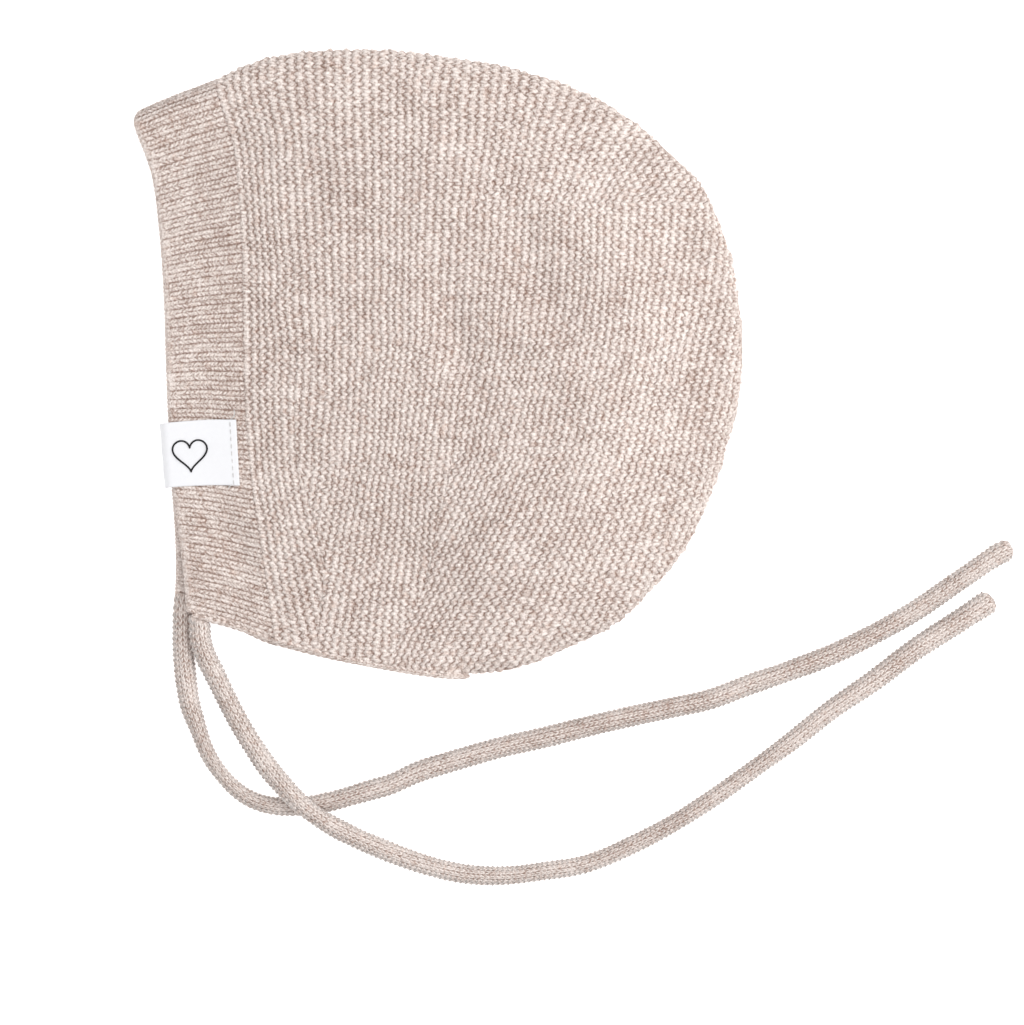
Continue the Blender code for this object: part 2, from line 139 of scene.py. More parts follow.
# Sections from the front edge to the back fold. low, middle, high: share of the way across the part.
# low_y, high_y: the ends as shares of the height.
# neck, belly, top: lift of the near layer as shares of the puff.
SECTIONS = np.array((
    # low, middle, high, low_y, high_y, neck, belly, top
    (0.000, 0.000, 0.000, -0.392, 0.397, -0.10, 0.42, 0.10),
    (0.500, 0.500, 0.500, -0.410, 0.427, -0.06, 0.50, 0.18),
    (0.000, 0.000, 0.000, -0.434, 0.453, 0.02, 0.60, 0.30),
    (0.108, 0.110, 0.099, -0.456, 0.487, 0.12, 0.74, 0.48),
    (0.220, 0.215, 0.219, -0.474, 0.4995, 0.20, 0.88, 0.64),
    (0.333, 0.321, 0.335, -0.488, 0.4995, 0.28, 0.97, 0.76),
    (0.425, 0.427, 0.452, -0.493, 0.489, 0.50, 1.00, 0.84),
    (0.546, 0.543, 0.578, -0.482, 0.470, 0.80, 1.00, 0.88),
    (0.652, 0.654, 0.694, -0.451, 0.439, 0.88, 0.98, 0.88),
    (0.753, 0.758, 0.797, -0.416, 0.393, 0.88, 0.94, 0.86),
    (0.845, 0.851, 0.880, -0.356, 0.334, 0.84, 0.88, 0.82),
    (0.928, 0.926, 0.946, -0.279, 0.275, 0.80, 0.82, 0.78),
    (1.000, 1.000, 1.000, -0.160, 0.164, 0.75, 0.75, 0.75),
))
LOW, MIDDLE, HIGH, LOW_Y, HIGH_Y, NECK_LIFT, BELLY_LIFT, TOP_LIFT = SECTIONS.T
SEAM_ROW = 2
NAPE_ROW = 6
BACK_ROW = len(SECTIONS) - 1

# The knit's dents and swells are this much deeper than the solid's, because the loops hide part of them.
DENT_DEPTH = 1.6
DENTS = (
    # x, y as shares of length and height, reach, width as shares of the length, turn in degrees, lift
    (0.031, 0.035, 0.105, 0.030, 106, -0.12),
    (0.168, 0.025, 0.150, 0.032, 136, 0.07),
    (0.152, 0.150, 0.115, 0.036, 114, -0.11),
    (-0.055, -0.292, 0.095, 0.048, 8, -0.11),
    (-0.325, -0.290, 0.060, 0.028, 118, -0.08),
)

# Ridge lines of the garter stitch, in millimetres: the x of a numbered ridge at each level of y.
UPPER_LEVELS = (85.0, 73.9, 62.7, 44.6, 26.4, 6.9)
UPPER_RIDGES = np.array((
    # ridge, x at each upper level
    (0, -62.5, -60.3, -57.8, -55.2, -54.1, -53.6),
    (6, -48.0, -46.9, -45.5, -43.8, -42.4, -41.0),
    (12, -32.1, -31.5, -31.0, -30.1, -29.3, -28.5),
    (18, -16.2, -16.2, -15.9, -15.9, -16.2, -15.9),
    (24, -1.1, -2.0, -2.5, -3.3, -3.6, -3.9),
    (30, 15.6, 14.2, 12.8, 10.9, 9.8, 8.4),
    (36, 32.6, 29.9, 27.3, 24.0, 22.9, 20.9),
    (42, 54.4, 48.8, 43.5, 36.5, 35.7, 33.5),
    (48, 75.9, 68.1, 60.3, 48.8, 48.3, 46.0),
    (54, 94.3, 85.7, 77.0, 62.8, 61.1, 58.6),
    (60, 110.5, 101.8, 93.2, 76.7, 74.8, 71.1),
    (66, 125.6, 116.9, 108.3, 94.0, 89.0, 84.8),
    (72, 138.7, 130.3, 121.6, 108.0, 102.7, 98.2),
))
LOWER_LEVELS = (6.9, -26.6, -43.3, -60.1, -76.8, -90.7)
# Below, two darts part the ridges into three fields, whose ridges meet at a slant.
CHEEK_RIDGES = np.array((
    (0, -53.6, -52.2, -50.2, -47.7, -44.9, -41.9),
    (7, -39.1, -39.3, -36.3, -32.4, -27.1, -21.5),
    (14, -24.6, -26.4, -22.4, -17.1, -9.3, -1.1),
))
NECK_RIDGES = np.array((
    (7, -39.1, -40.7, -43.0, -46.6, -49.1, -51.3),
    (12, -28.5, -30.1, -33.5, -37.1, -41.0, -44.1),
    (18, -15.9, -18.4, -21.2, -24.0, -27.1, -29.6),
    (24, -3.9, -7.8, -9.8, -11.4, -12.8, -14.0),
    (30, 8.4, 3.9, 2.0, 0.6, -0.6, -1.4),
))
BACK_RIDGES = np.array((
    (30, 8.4, 3.9, -4.7, -13.4, -21.8, -29.0),
    (36, 20.9, 14.5, 7.0, -1.1, -9.8, -15.3),
    (42, 33.5, 25.9, 18.7, 10.6, 1.7, -5.0),
    (48, 46.0, 38.8, 32.6, 24.8, 16.2, 8.6),
    (54, 58.6, 51.3, 46.0, 39.3, 31.8, 25.1),
    (60, 71.1, 64.4, 59.4, 53.6, 46.9, 40.5),
    (66, 84.8, 78.1, 73.7, 68.1, 61.9, 55.2),
    (72, 98.2, 91.8, 87.6, 82.6, 77.0, 70.3),
))
# The darts from their upper ends down, with the ridge that each one carries on and the ridges on both sides.
CHEEK_DART = {"ridge": 7, "ridges": np.vstack((CHEEK_RIDGES[:2], NECK_RIDGES[1:])),
              "x": (-39.4, -33.8, -31.5, -33.2, -34.6), "y": (-27.0, -43.9, -58.9, -74.6, -90.0)}
NECK_DART = {"ridge": 30, "ridges": np.vstack((NECK_RIDGES[:-1], BACK_RIDGES)),
             "x": (3.9, -1.4, -2.5, -8.1, -16.2), "y": (-27.0, -52.0, -58.4, -71.2, -88.0)}
DART_START = -27.0
LAST_RIDGE = 69

# Tie routes. x, y in metres, lift: how high the tie's underside lies, in tie diameters.
NEAR_TIE = (
    (-0.0663, -0.0727, 0.96), (-0.0659, -0.0775, 0.70), (-0.0643, -0.0820, 0.46), (-0.0619, -0.0868, 0.26),
    (-0.0582, -0.0945, 0.12), (-0.0535, -0.1030, 0.16), (-0.0477, -0.1117, 0.52), (-0.0430, -0.1172, 0.92),
    (-0.0382, -0.1222, 1.10), (-0.0320, -0.1268, 0.92), (-0.0245, -0.1310, 0.48), (-0.0160, -0.1348, 0.14),
    (-0.0047, -0.1390, 0.02), (0.0067, -0.1418, 0.02), (0.0181, -0.1424, 0.02), (0.0296, -0.1411, 0.02),
    (0.0410, -0.1392, 0.02), (0.0525, -0.1346, 0.02), (0.0642, -0.1286, 0.02), (0.0756, -0.1215, 0.02),
    (0.0870, -0.1134, 0.02), (0.0985, -0.1050, 0.02), (0.1099, -0.0960, 0.02), (0.1214, -0.0881, 0.02),
    (0.1328, -0.0795, 0.02), (0.1442, -0.0721, 0.02), (0.1548, -0.0652, 0.02),
)
FAR_TIE = (
    (-0.0708, -0.0672, 0.02), (-0.0710, -0.0712, 0.02), (-0.0709, -0.0812, 0.02), (-0.0695, -0.0930, 0.02),
    (-0.0672, -0.1005, 0.02), (-0.0639, -0.1089, 0.02), (-0.0591, -0.1156, 0.02), (-0.0536, -0.1203, 0.02),
    (-0.0469, -0.1228, 0.02), (-0.0385, -0.1231, 0.02), (-0.0299, -0.1217, 0.02), (-0.0204, -0.1190, 0.02),
    (-0.0131, -0.1169, 0.02), (-0.0047, -0.1132, 0.02), (0.0067, -0.1097, 0.02), (0.0181, -0.1065, 0.02),
    (0.0296, -0.1039, 0.02), (0.0410, -0.1010, 0.02), (0.0525, -0.0983, 0.02), (0.0642, -0.0958, 0.02),
    (0.0756, -0.0933, 0.02), (0.0870, -0.0891, 0.02), (0.0985, -0.0851, 0.02), (0.1099, -0.0807, 0.02),
    (0.1214, -0.0751, 0.02), (0.1328, -0.0687, 0.02), (0.1442, -0.0609, 0.02), (0.1557, -0.0531, 0.02),
    (0.1602, -0.0514, 0.02),
)

# The ties start wider for these lengths. Their roots are drawn back to the sewn edge by a length and a slant,
# which fade out over ROOT_FADE.
ROOT_SPREAD = 0.22
ROOT_EASE = 0.024
ROOT_FADE = 0.0035
NEAR_ROOT = {"wide": 0.040, "pull": 0.0020, "slant": -0.42}
FAR_ROOT = {"wide": 0.018, "pull": 0.0034, "slant": 0.10}
# How wide each tie lies along its length, as shares of its length and diameter.
NEAR_WIDTHS = (
    (0.0, 1.0), (0.14, 1.0), (0.20, 1.12), (0.32, 1.20), (0.44, 1.08), (0.72, 1.07), (0.86, 1.26),
    (1.0, 1.36),
)
FAR_WIDTHS = ((0.0, 1.0), (0.10, 1.04), (0.17, 0.92), (0.23, 1.02), (0.32, 1.22), (1.0, 1.22))

# The label's tape lies this far over the band's solid and swells by this much.
LABEL_LIFT = CLEARANCE * 0.4
TAPE_SWELL = 0.00008
# The sewing line runs this far inside the label's end. Then the radii of its thread, of the thread's cut ends
# and of the heart's thread.
SEWING_INSET = 0.0019
SEWING_RADIUS = 0.00013
CUT_END_RADIUS = 0.00011
HEART_RADIUS = 0.00026

# The photograph's frame on the floor: its middle and its width.
VIEW_CENTRE = (0.0206, -0.0412)
VIEW_WIDTH = 0.2857
STITCH_MAP = "stitches"
UPWARD = np.array((0.0, 0.0, 1.0))
FULL_TURN = 2 * math.pi


# Sizes and colours that a user would change.

class BonnetKnit(bpy.types.PropertyGroup):
    """Stitch sizes and yarn colours."""
    stitch: bpy.props.FloatProperty(
        name="Stitch", description="Length of one garter stitch along its ridge", default=0.0020,
        unit="LENGTH")
    ridge_relief: bpy.props.FloatProperty(
        name="Ridge relief", description="Height of the garter ridges over their grooves", default=0.0009,
        unit="LENGTH")
    swing: bpy.props.FloatProperty(
        name="Loop swing", description="How far the loops swing to each side, in ridge widths", default=0.17)
    unevenness: bpy.props.FloatProperty(
        name="Unevenness", description="How much the loops differ in place and size", default=0.5)
    rib: bpy.props.FloatProperty(
        name="Rib", description="Width of one rib of the band with its valley", default=0.00246,
        unit="LENGTH")
    rib_stitch: bpy.props.FloatProperty(
        name="Rib stitch", description="Length of one stitch across the band", default=0.00126, unit="LENGTH")
    rib_relief: bpy.props.FloatProperty(
        name="Rib relief", description="Height of the ribs over their valleys", default=0.0007, unit="LENGTH")
    tie_wales: bpy.props.IntProperty(
        name="Tie wales", description="Columns of stitches round a tie", default=12)
    tie_stitch: bpy.props.FloatProperty(
        name="Tie stitch", description="Length of one stitch along a tie", default=0.00142, unit="LENGTH")
    tie_relief: bpy.props.FloatProperty(
        name="Tie relief", description="Height of the tie's stitches", default=0.0005, unit="LENGTH")
    # The yarn colours are stops of a ramp driven mostly by the relief: the light one carries painted
    # highlight on the crests, the deep one painted shade in the grooves, each mixed with the wool's own
    # fibres.
    light_yarn: bpy.props.FloatVectorProperty(
        name="Light yarn", description="Colour of the pale fibres on the crests", subtype="COLOR",
        default=(0.740, 0.665, 0.625))
    middle_yarn: bpy.props.FloatVectorProperty(
        name="Middle yarn", description="Colour of the loops' flanks", subtype="COLOR",
        default=(0.540, 0.450, 0.410))
    # Painted shade in the grooves, with the darkest fibres.
    groove_shade_yarn: bpy.props.FloatVectorProperty(
        name="Deep yarn", description="Colour in the grooves between stitches", subtype="COLOR",
        default=(0.270, 0.185, 0.150))
    brown_yarn: bpy.props.FloatVectorProperty(
        name="Brown fibres", description="Tint of the scattered brown fibres", subtype="COLOR",
        default=(0.76, 0.62, 0.55))
    fuzz: bpy.props.IntProperty(
        name="Fuzz", description="Number of loose fibres that stand off the knit", default=9000)


class BonnetTrim(bpy.types.PropertyGroup):
    """Colours of the label and its threads."""
    tape: bpy.props.FloatVectorProperty(
        name="Tape", description="Colour of the woven label", subtype="COLOR", default=(0.74, 0.74, 0.76))
    motif: bpy.props.FloatVectorProperty(
        name="Motif", description="Colour of the stitched heart", subtype="COLOR",
        default=(0.012, 0.012, 0.014))
    thread: bpy.props.FloatVectorProperty(
        name="Thread", description="Colour of the sewing thread", subtype="COLOR", default=(0.62, 0.61, 0.60))


class BonnetStage(bpy.types.PropertyGroup):
    """Floor, light and camera."""
    camera_height: bpy.props.FloatProperty(
        name="Camera height", description="Height of the camera over the floor", default=2.4, unit="LENGTH")
    overhead: bpy.props.FloatProperty(
        name="Overhead light", description="Power of the large soft light over the bonnet in watts",
        default=17.0)
    side: bpy.props.FloatProperty(
        name="Side light", description="Power of the soft light from the right in watts", default=9.5)
    sky: bpy.props.FloatProperty(
        name="Sky", description="Strength of the even light from all sides", default=0.70)
    glow: bpy.props.FloatProperty(
        name="Glow", description="Strength of the light table under the bonnet", default=0.58)
    floor: bpy.props.FloatVectorProperty(
        name="Floor", description="Colour of the film under the bonnet", subtype="COLOR",
        default=(0.92, 0.92, 0.92))


# Vectors and paths.

def unit(vectors):
    """The directions of vectors."""
    return vectors / np.linalg.norm(vectors, axis=-1, keepdims=True)


def unit_across(vectors, axis):
    """The directions of vectors without their part along an axis."""
    return unit(vectors - axis * (vectors * axis).sum(-1, keepdims=True))


def reach_along(path):
    """The length of a path up to each of its points."""
    return np.concatenate(([0], np.cumsum(np.linalg.norm(np.diff(path, axis=0), axis=1))))


def read_along(path, reach, at):
    """Places of a path at lengths, read straight between its points."""
    return np.stack([np.interp(at, reach, column) for column in path.T], -1)


def plan_cross(first, second):
    """Cross products of plan vectors."""
    return first[:, 0] * second[:, 1] - first[:, 1] * second[:, 0]


# The bonnet's smooth surface, worked out as the solids were.

def catmull(before, first, second, after, share):
    bend = 2 * before - 5 * first + 4 * second - after + share * (3 * (first - second) + after - before)
    return first + 0.5 * share * (second - before + share * bend)


def along_table(values, at):
    """Smooth values at places counted in a table's rows."""
    values = np.asarray(values, float)
    last = len(values) - 1
    at = np.clip(at, 0, last)
    row = np.minimum(at.astype(int), last - 1)
    after = values[np.minimum(row + 2, last)]
    return catmull(values[np.maximum(row - 1, 0)], values[row], values[row + 1], after, at - row)


def low_to_high(low, middle, high, height):
    """Smooth value up a section from its low end, middle and high end."""
    at = np.clip(height, 0, 1) * 2
    upper = at >= 1
    share = np.where(upper, at - 1, at)
    return catmull(low, np.where(upper, middle, low), np.where(upper, high, middle), high, share)


def section_points(row, height):
    front = along_table(FRONT_EDGE, height * (len(FRONT_EDGE) - 1)) * BONNET_LENGTH
    seam = front + along_table(SEAM, height * (len(SEAM) - 1)) * BAND_WIDTH
    back = along_table(BACK_FOLD, height * (len(BACK_FOLD) - 1)) * BONNET_LENGTH
    on_band = row < SEAM_ROW
    start = np.where(on_band, front, seam)
    end = np.where(on_band, seam, back)
    y = (LOW_Y[row] + (HIGH_Y[row] - LOW_Y[row]) * height) * BONNET_HEIGHT
    return np.stack((start + (end - start) * low_to_high(LOW[row], MIDDLE[row], HIGH[row], height), y), -1)


def plan_points(rows, heights):
    """Plan points at places counted in sections and heights from 0 to 1."""
    rows, heights = np.broadcast_arrays(np.asarray(rows, float), np.asarray(heights, float))
    first = np.clip(rows.astype(int), 0, BACK_ROW - 1)
    near = [section_points(np.clip(first + step, 0, BACK_ROW), heights) for step in (-1, 0, 1, 2)]
    return catmull(*near, (rows - first)[..., None])


def row_step(row, height, length):
    """How many sections a length along the knit takes there."""
    step = 0.02
    high = np.minimum(row + step, BACK_ROW)
    low = np.maximum(row - step, 0)
    gone = np.linalg.norm(plan_points(high, height) - plan_points(low, height), axis=-1)
    return length * (high - low) / gone


def fold_line():
    """The plan line of the fold: over the top, down the back and along the bottom to the nape."""
    fine = 16
    over = np.arange(BACK_ROW * fine + 1) / fine
    down = 1 - np.arange(1, 2 * fine) / fine / 2
    back = np.arange(BACK_ROW * fine, NAPE_ROW * fine - 1, -1) / fine
    line = np.vstack((plan_points(over, 1.0), plan_points(BACK_ROW, down), plan_points(back, 0.0)))
    ahead = line[0] - line[4]
    return np.vstack((line[0] + ahead / np.linalg.norm(ahead) * FOLD_RADIUS * 3, line))


FOLD = fold_line()
FOLD_STEPS = np.diff(FOLD, axis=0)
FOLD_LENGTHS = np.hypot(*FOLD_STEPS.T)
FOLD_REACH = np.concatenate(([0.0], np.cumsum(FOLD_LENGTHS)))
NAPE_EASE = 0.015
# The neck edge still holds the knit this many sections past the nape.
NAPE_OVERLAP = 0.1


def to_fold(points):
    """Signed distance inside the fold, nearest point on it, direction inward and spare length there."""
    batch = 4000
    parts = []
    for start in range(0, len(points), batch):
        some = points[start:start + batch]
        reach = some[:, None, :] - FOLD[None, :-1, :]
        share = np.clip((reach * FOLD_STEPS).sum(-1) / FOLD_LENGTHS ** 2, 0, 1)
        away = reach - FOLD_STEPS * share[..., None]
        distance = np.hypot(away[..., 0], away[..., 1])
        nearest = distance.argmin(1)
        pick = (np.arange(len(some)), nearest)
        parts.append((some - away[pick], away[pick], distance[pick], nearest, share[pick]))
    foot, away, distance, nearest, share = [np.concatenate(column) for column in zip(*parts)]
    along = FOLD_STEPS[nearest] / FOLD_LENGTHS[nearest, None]
    square = np.stack((along[:, 1], -along[:, 0]), -1)
    past_nape = (nearest == len(FOLD_STEPS) - 1) & (share > 0.999)
    signed = np.where(past_nape, distance, distance * np.sign((away * square).sum(-1)))
    straight = away / np.maximum(distance, 1e-9)[:, None]
    inward = np.where((past_nape & (distance > 1e-6))[:, None], straight, square)
    left = FOLD_REACH[-1] - (FOLD_REACH[nearest] + share * FOLD_LENGTHS[nearest])
    spare = FOLD_SPARE * ease(left / NAPE_EASE)
    return signed, foot, inward, spare


def ease(share):
    share = np.clip(share, 0, 1)
    return share * share * (3 - 2 * share)


def locate(points):
    """Section places and heights of plan points, by Newton steps."""
    # The first guess takes straight sections at these places and steps.
    edge_x, seam_x = -0.077, -0.054
    band_step, crown_step, height_share = 0.0115, 0.0139, 0.93
    x, y = points.T
    rows = np.where(x < seam_x, (x - edge_x) / band_step, SEAM_ROW + (x - seam_x) / crown_step)
    rows = np.clip(rows, 0, BACK_ROW)
    heights = np.clip(y / BONNET_HEIGHT / height_share + 0.5, 0, 1)
    tiny = 1e-3
    for _ in range(9):
        here = plan_points(rows, heights)
        side = np.where(rows > BACK_ROW - 0.01, -tiny, tiny)
        along = (plan_points(rows + side, heights) - here) / side[:, None]
        up = (plan_points(rows, heights + tiny) - here) / tiny
        miss = points - here
        area = plan_cross(along, up)
        area = np.where(np.abs(area) < 1e-9, 1e-9, area)
        row_move = plan_cross(miss, up) / area
        height_move = plan_cross(along, miss) / area
        rows = np.clip(rows + np.clip(row_move, -1.5, 1.5), 0, BACK_ROW)
        heights = np.clip(heights + np.clip(height_move, -0.2, 0.2), -0.4, 1.4)
    return rows, heights


def near_lift(rows, heights, plan, distance):
    neck, belly, top = [along_table(lifts, rows) for lifts in (NECK_LIFT, BELLY_LIFT, TOP_LIFT)]
    lift = low_to_high(neck, belly, top, heights)
    for x, y, reach, width, turn, depth in DENTS:
        away = plan - np.array((x * BONNET_LENGTH, y * BONNET_HEIGHT))
        cos, sin = math.cos(math.radians(turn)), math.sin(math.radians(turn))
        along = (away[:, 0] * cos + away[:, 1] * sin) / (reach * BONNET_LENGTH)
        across = (away[:, 0] * sin - away[:, 1] * cos) / (width * BONNET_LENGTH)
        lift = lift + DENT_DEPTH * depth * np.exp(-along ** 2 - across ** 2)
    return PUFF * lift * ease(distance / PUFF_REACH)


def far_shift(rows, heights):
    front = 1 - ease(rows / SEAM_ROW)
    before_nape = 1 - ease(rows / NAPE_ROW)
    rise = FAR_CORNER_RISE * front - FAR_HEM_DROP * (before_nape - front)
    shift = np.stack((-(FAR_CORNER_FORWARD + FAR_CORNER_ROLL) * front, rise), -1)
    return shift * ((1 - np.clip(heights, 0, 1)) ** 5)[:, None]


def lay(points, side, rows=None, heights=None):
    """Lays plan points on the near (1) or far (-1) layer's outer surface.

    The plan reaches past the fold by the spare length of its quarter turn.
    Points past the edges are drawn in to them.
    Returns places, outward directions and which points were past an edge.
    """
    if rows is None:
        rows, heights = locate(points)
        past_neck = (heights < 0) & (rows < NAPE_ROW + NAPE_OVERLAP)
        points = np.where(past_neck[:, None], plan_points(rows, 0.0), points)
        heights = np.where(past_neck, 0.0, heights)
    else:
        past_neck = np.zeros(len(points), bool)
    signed, foot, inward, spare = to_fold(points)
    past_fold = signed < -spare
    turned = np.clip((signed + spare) / (FOLD_RADIUS + spare), 0, 1)
    share = spare / FOLD_SPARE
    angle = share * turned * math.pi / 2 + (1 - share) * np.arccos(1 - turned)
    cos, sin = np.cos(angle), np.sin(angle)
    rolled = foot + inward * (FOLD_RADIUS * (1 - cos))[:, None]
    plan = np.where((turned < 1)[:, None], rolled, points)
    distance = np.where(turned < 1, FOLD_RADIUS * (1 - cos), signed)
    z = FOLD_RADIUS + side * FOLD_RADIUS * sin
    if side > 0:
        z = z + near_lift(rows, heights, plan, distance)
    else:
        plan = plan + far_shift(rows, heights) * ease(distance / PUFF_REACH)[:, None]
    out = np.stack((-inward[:, 0] * cos, -inward[:, 1] * cos, side * sin), -1)
    return np.column_stack((plan, z)), out, past_neck | past_fold


# Meshes.

def make_piece(name, places, faces, material, stitches=None):
    """A mesh object from places and faces, with the stitch map that its material reads.

    The stitch counts are given for each place or for each corner of the faces.
    """
    mesh = bpy.data.meshes.new(name)
    mesh.vertices.add(len(places))
    mesh.vertices.foreach_set("co", np.asarray(places, np.float32).ravel())
    sizes = np.array([len(face) for face in faces])
    corners = np.concatenate([np.asarray(face) for face in faces])
    mesh.loops.add(len(corners))
    mesh.loops.foreach_set("vertex_index", corners.astype(np.int32))
    mesh.polygons.add(len(sizes))
    mesh.polygons.foreach_set("loop_start", np.concatenate(([0], np.cumsum(sizes)[:-1])).astype(np.int32))
    mesh.update(calc_edges=True)
    if stitches is not None:
        layer = mesh.uv_layers.new(name=STITCH_MAP)
        counts = np.asarray(stitches, np.float32)
        layer.data.foreach_set("uv", (counts if len(counts) == len(corners) else counts[corners]).ravel())
    mesh.validate()
    mesh.materials.append(material)
    mesh.shade_smooth()
    piece = bpy.data.objects.new(name, mesh)
    bpy.context.collection.objects.link(piece)
    return piece


def grid_faces(columns, rows, first=0):
    """Quads of a grid whose points count along the rows first."""
    i, j = np.meshgrid(np.arange(columns - 1), np.arange(rows - 1), indexing="ij")
    corner = (first + i * rows + j).ravel()
    return np.stack((corner, corner + rows, corner + rows + 1, corner + 1), -1)


def tube_faces(count, sides, first=0, closed=False):
    """Faces of a tube of rings, whose last ring meets its first one or which has a face at each end."""
    faces = []
    for i in range(count if closed else count - 1):
        ring = first + i * sides
        following = first + (i + 1) % count * sides
        for k in range(sides):
            after = (k + 1) % sides
            faces.append([ring + k, ring + after, following + after, following + k])
    if not closed:
        faces.append([first + k for k in reversed(range(sides))])
        faces.append([first + (count - 1) * sides + k for k in range(sides)])
    return faces


def tube_stitches(around, along):
    """Stitch counts of a tube's points, from the counts round its rings and along it."""
    return np.stack(np.broadcast_arrays(around[None, :], along[:, None]), -1).reshape(-1, 2)


def drop_flat(faces, places, past):
    """Leaves out faces past the edges and faces without area."""
    faces = faces[~past[faces].all(1)]
    a, b, c, d = [places[faces[:, k]] for k in range(4)]
    area = np.linalg.norm(np.cross(c - a, d - b), axis=1) / 2
    return faces[area > 1e-10]


def weld(places, faces):
    """One number for all points at a place, and the faces without the corners that fall together."""
    keys = np.round(places / 2e-6).astype(np.int64)
    number = np.unique(keys, axis=0, return_inverse=True)[1].reshape(-1)
    kept = []
    for face, numbers in zip(faces, number[faces].tolist()):
        apart = [k for k in range(4) if numbers[k] != numbers[k - 1]]
        if len(apart) > 2 and len({numbers[k] for k in apart}) == len(apart):
            kept.append(face[apart])
    return number, kept


def two_skins(faces, spots, count):
    """Faces of the outer skin, an inner skin below it and the rim between them, with their stitch counts."""
    faces = [face.tolist() for face in faces]
    edges = {}
    for face, spot in zip(faces, spots):
        for k in range(len(face)):
            edges[(face[k - 1], face[k])] = spot[[k - 1, k]]
    inner = [[corner + count for corner in reversed(face)] for face in faces]
    rim = [(a, b) for a, b in edges if (b, a) not in edges]
    corners = faces + inner + [[b, a, a + count, b + count] for a, b in rim]
    return corners, spots + [spot[::-1] for spot in spots] + [edges[pair][[1, 0, 0, 1]] for pair in rim]


def lighten_inside(piece, outer_count, share):
    """Joins small faces of the inner skin, and leaves the outer skin as it is."""
    group = piece.vertex_groups.new(name="inside")
    inside = list(range(outer_count, len(piece.data.vertices)))
    group.add(inside, 1.0, "REPLACE")
    modifier = piece.modifiers.new("lighten", "DECIMATE")
    modifier.ratio = share
    modifier.vertex_group = group.name
    modifier.vertex_group_factor = 1000.0
    view = bpy.context.evaluated_depsgraph_get()
    view.update()
    lighter = bpy.data.meshes.new_from_object(piece.evaluated_get(view))
    piece.modifiers.clear()
    piece.vertex_groups.clear()
    old = piece.data
    piece.data = lighter
    bpy.data.meshes.remove(old)
    lighter.name = piece.name


def finish_piece(piece, nodes, body="root"):
    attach(piece, body)
    if nodes:
        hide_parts(*nodes)
    return piece


# Knitting.

def table_x(ridges, levels, ridge, y):
    """The x of ridges at heights, read straight between a table's ridges and levels and past its ridges."""
    left = np.clip(np.searchsorted(ridges[:, 0], ridge, side="right") - 1, 0, len(ridges) - 2)
    share = (ridge - ridges[left, 0]) / (ridges[left + 1, 0] - ridges[left, 0])
    place = np.interp(-y, -np.array(levels), np.arange(len(levels)))
    level = np.minimum(place.astype(int), len(levels) - 2)
    rise = place - level
    upper = ridges[left, 1 + level] * (1 - share) + ridges[left + 1, 1 + level] * share
    lower = ridges[left, 2 + level] * (1 - share) + ridges[left + 1, 2 + level] * share
    return upper * (1 - rise) + lower * rise


def ridge_x(ridges, ridge, y):
    """The x of a ridge in one field, drawn in to the seam where the knit is picked up."""
    high = y * 1000 > UPPER_LEVELS[-1]
    x = np.where(high, table_x(UPPER_RIDGES, UPPER_LEVELS, ridge, y * 1000),
                 table_x(ridges, LOWER_LEVELS, ridge, y * 1000))
    first = np.where(high, table_x(UPPER_RIDGES, UPPER_LEVELS, ridge * 0, y * 1000),
                     table_x(CHEEK_RIDGES, LOWER_LEVELS, ridge * 0, y * 1000))
    ends = plan_points(SEAM_ROW, np.linspace(0, 1, 41))
    seam = np.interp(y, ends[:, 1], ends[:, 0]) - SEAM_TUCK
    picked_up = 8
    return np.maximum(x * MM + (seam - first * MM) * np.clip(1 - ridge / picked_up, 0, 1), seam)


def dart_edge(dart, swing, y):
    """The x of the edge between two fields: a ridge, and below the dart's upper end the dart."""
    above = ridge_x(dart["ridges"], dart["ridge"] + swing, y)
    below = np.interp(-y * 1000, -np.array(dart["y"]), dart["x"]) * MM
    return np.where(y * 1000 > DART_START, above, below)


def ridge_at(ridges, x, y, low, high):
    """The ridge that passes a point, found by halving."""
    low, high = np.full(len(x), low), np.full(len(x), high)
    for _ in range(18):
        middle = (low + high) / 2
        left = ridge_x(ridges, middle, y) < x
        low, high = np.where(left, middle, low), np.where(left, high, middle)
    return low


def field_points(ridges, ridge, v, loops, left, right):
    """One field of ridges kept between its darts.

    Returns plan points, true ridges, swings, stitch counts and which points lie on a dart.
    """
    y, counted, swing = loops(ridge, v)
    x = ridge_x(ridges, ridge + swing, y)
    held = np.zeros(len(x), bool)
    for dart, side in ((left, -1), (right, 1)):
        if dart is not None:
            edge_y, _, edge_swing = loops(np.full_like(ridge, dart["ridge"]), v)
            edge = dart_edge(dart, edge_swing, edge_y)
            past = (x - edge) * side > 0
            x, y = np.where(past, edge, x), np.where(past, edge_y, y)
            held |= past
    true_ridge = ridge + swing
    true_ridge[held] = ridge_at(ridges, x[held], y[held], 0.0, float(LAST_RIDGE))
    return np.stack((x, y), -1), true_ridge, swing, counted, held & (y * 1000 < DART_START)


def garter_relief(u, v):
    """Relief of garter stitch, 0 in the holes and 1 on the loops, u across a ridge, v stitches along it."""
    yarn = np.abs(np.sin(math.pi * u)) ** 0.7
    slant = np.cos(FULL_TURN * (v + LOOP_TURN * (u - np.floor(u) - 0.5))) ** 4
    return yarn * (1 - LOOP_GAP * slant) + (1 - yarn) * GROOVE_FILL * slant


def wander(grid, across, along):
    """Random values of a grid, read smoothly between its points."""
    across = np.clip(across + 1, 0, len(grid) - 2.001)
    along = np.clip(along + 1, 0, len(grid[0]) - 2.001)
    i, j = across.astype(int), along.astype(int)
    s, t = ease(across - i), ease(along - j)
    low = grid[i, j] * (1 - t) + grid[i, j + 1] * t
    high = grid[i + 1, j] * (1 - t) + grid[i + 1, j + 1] * t
    return low * (1 - s) + high * s


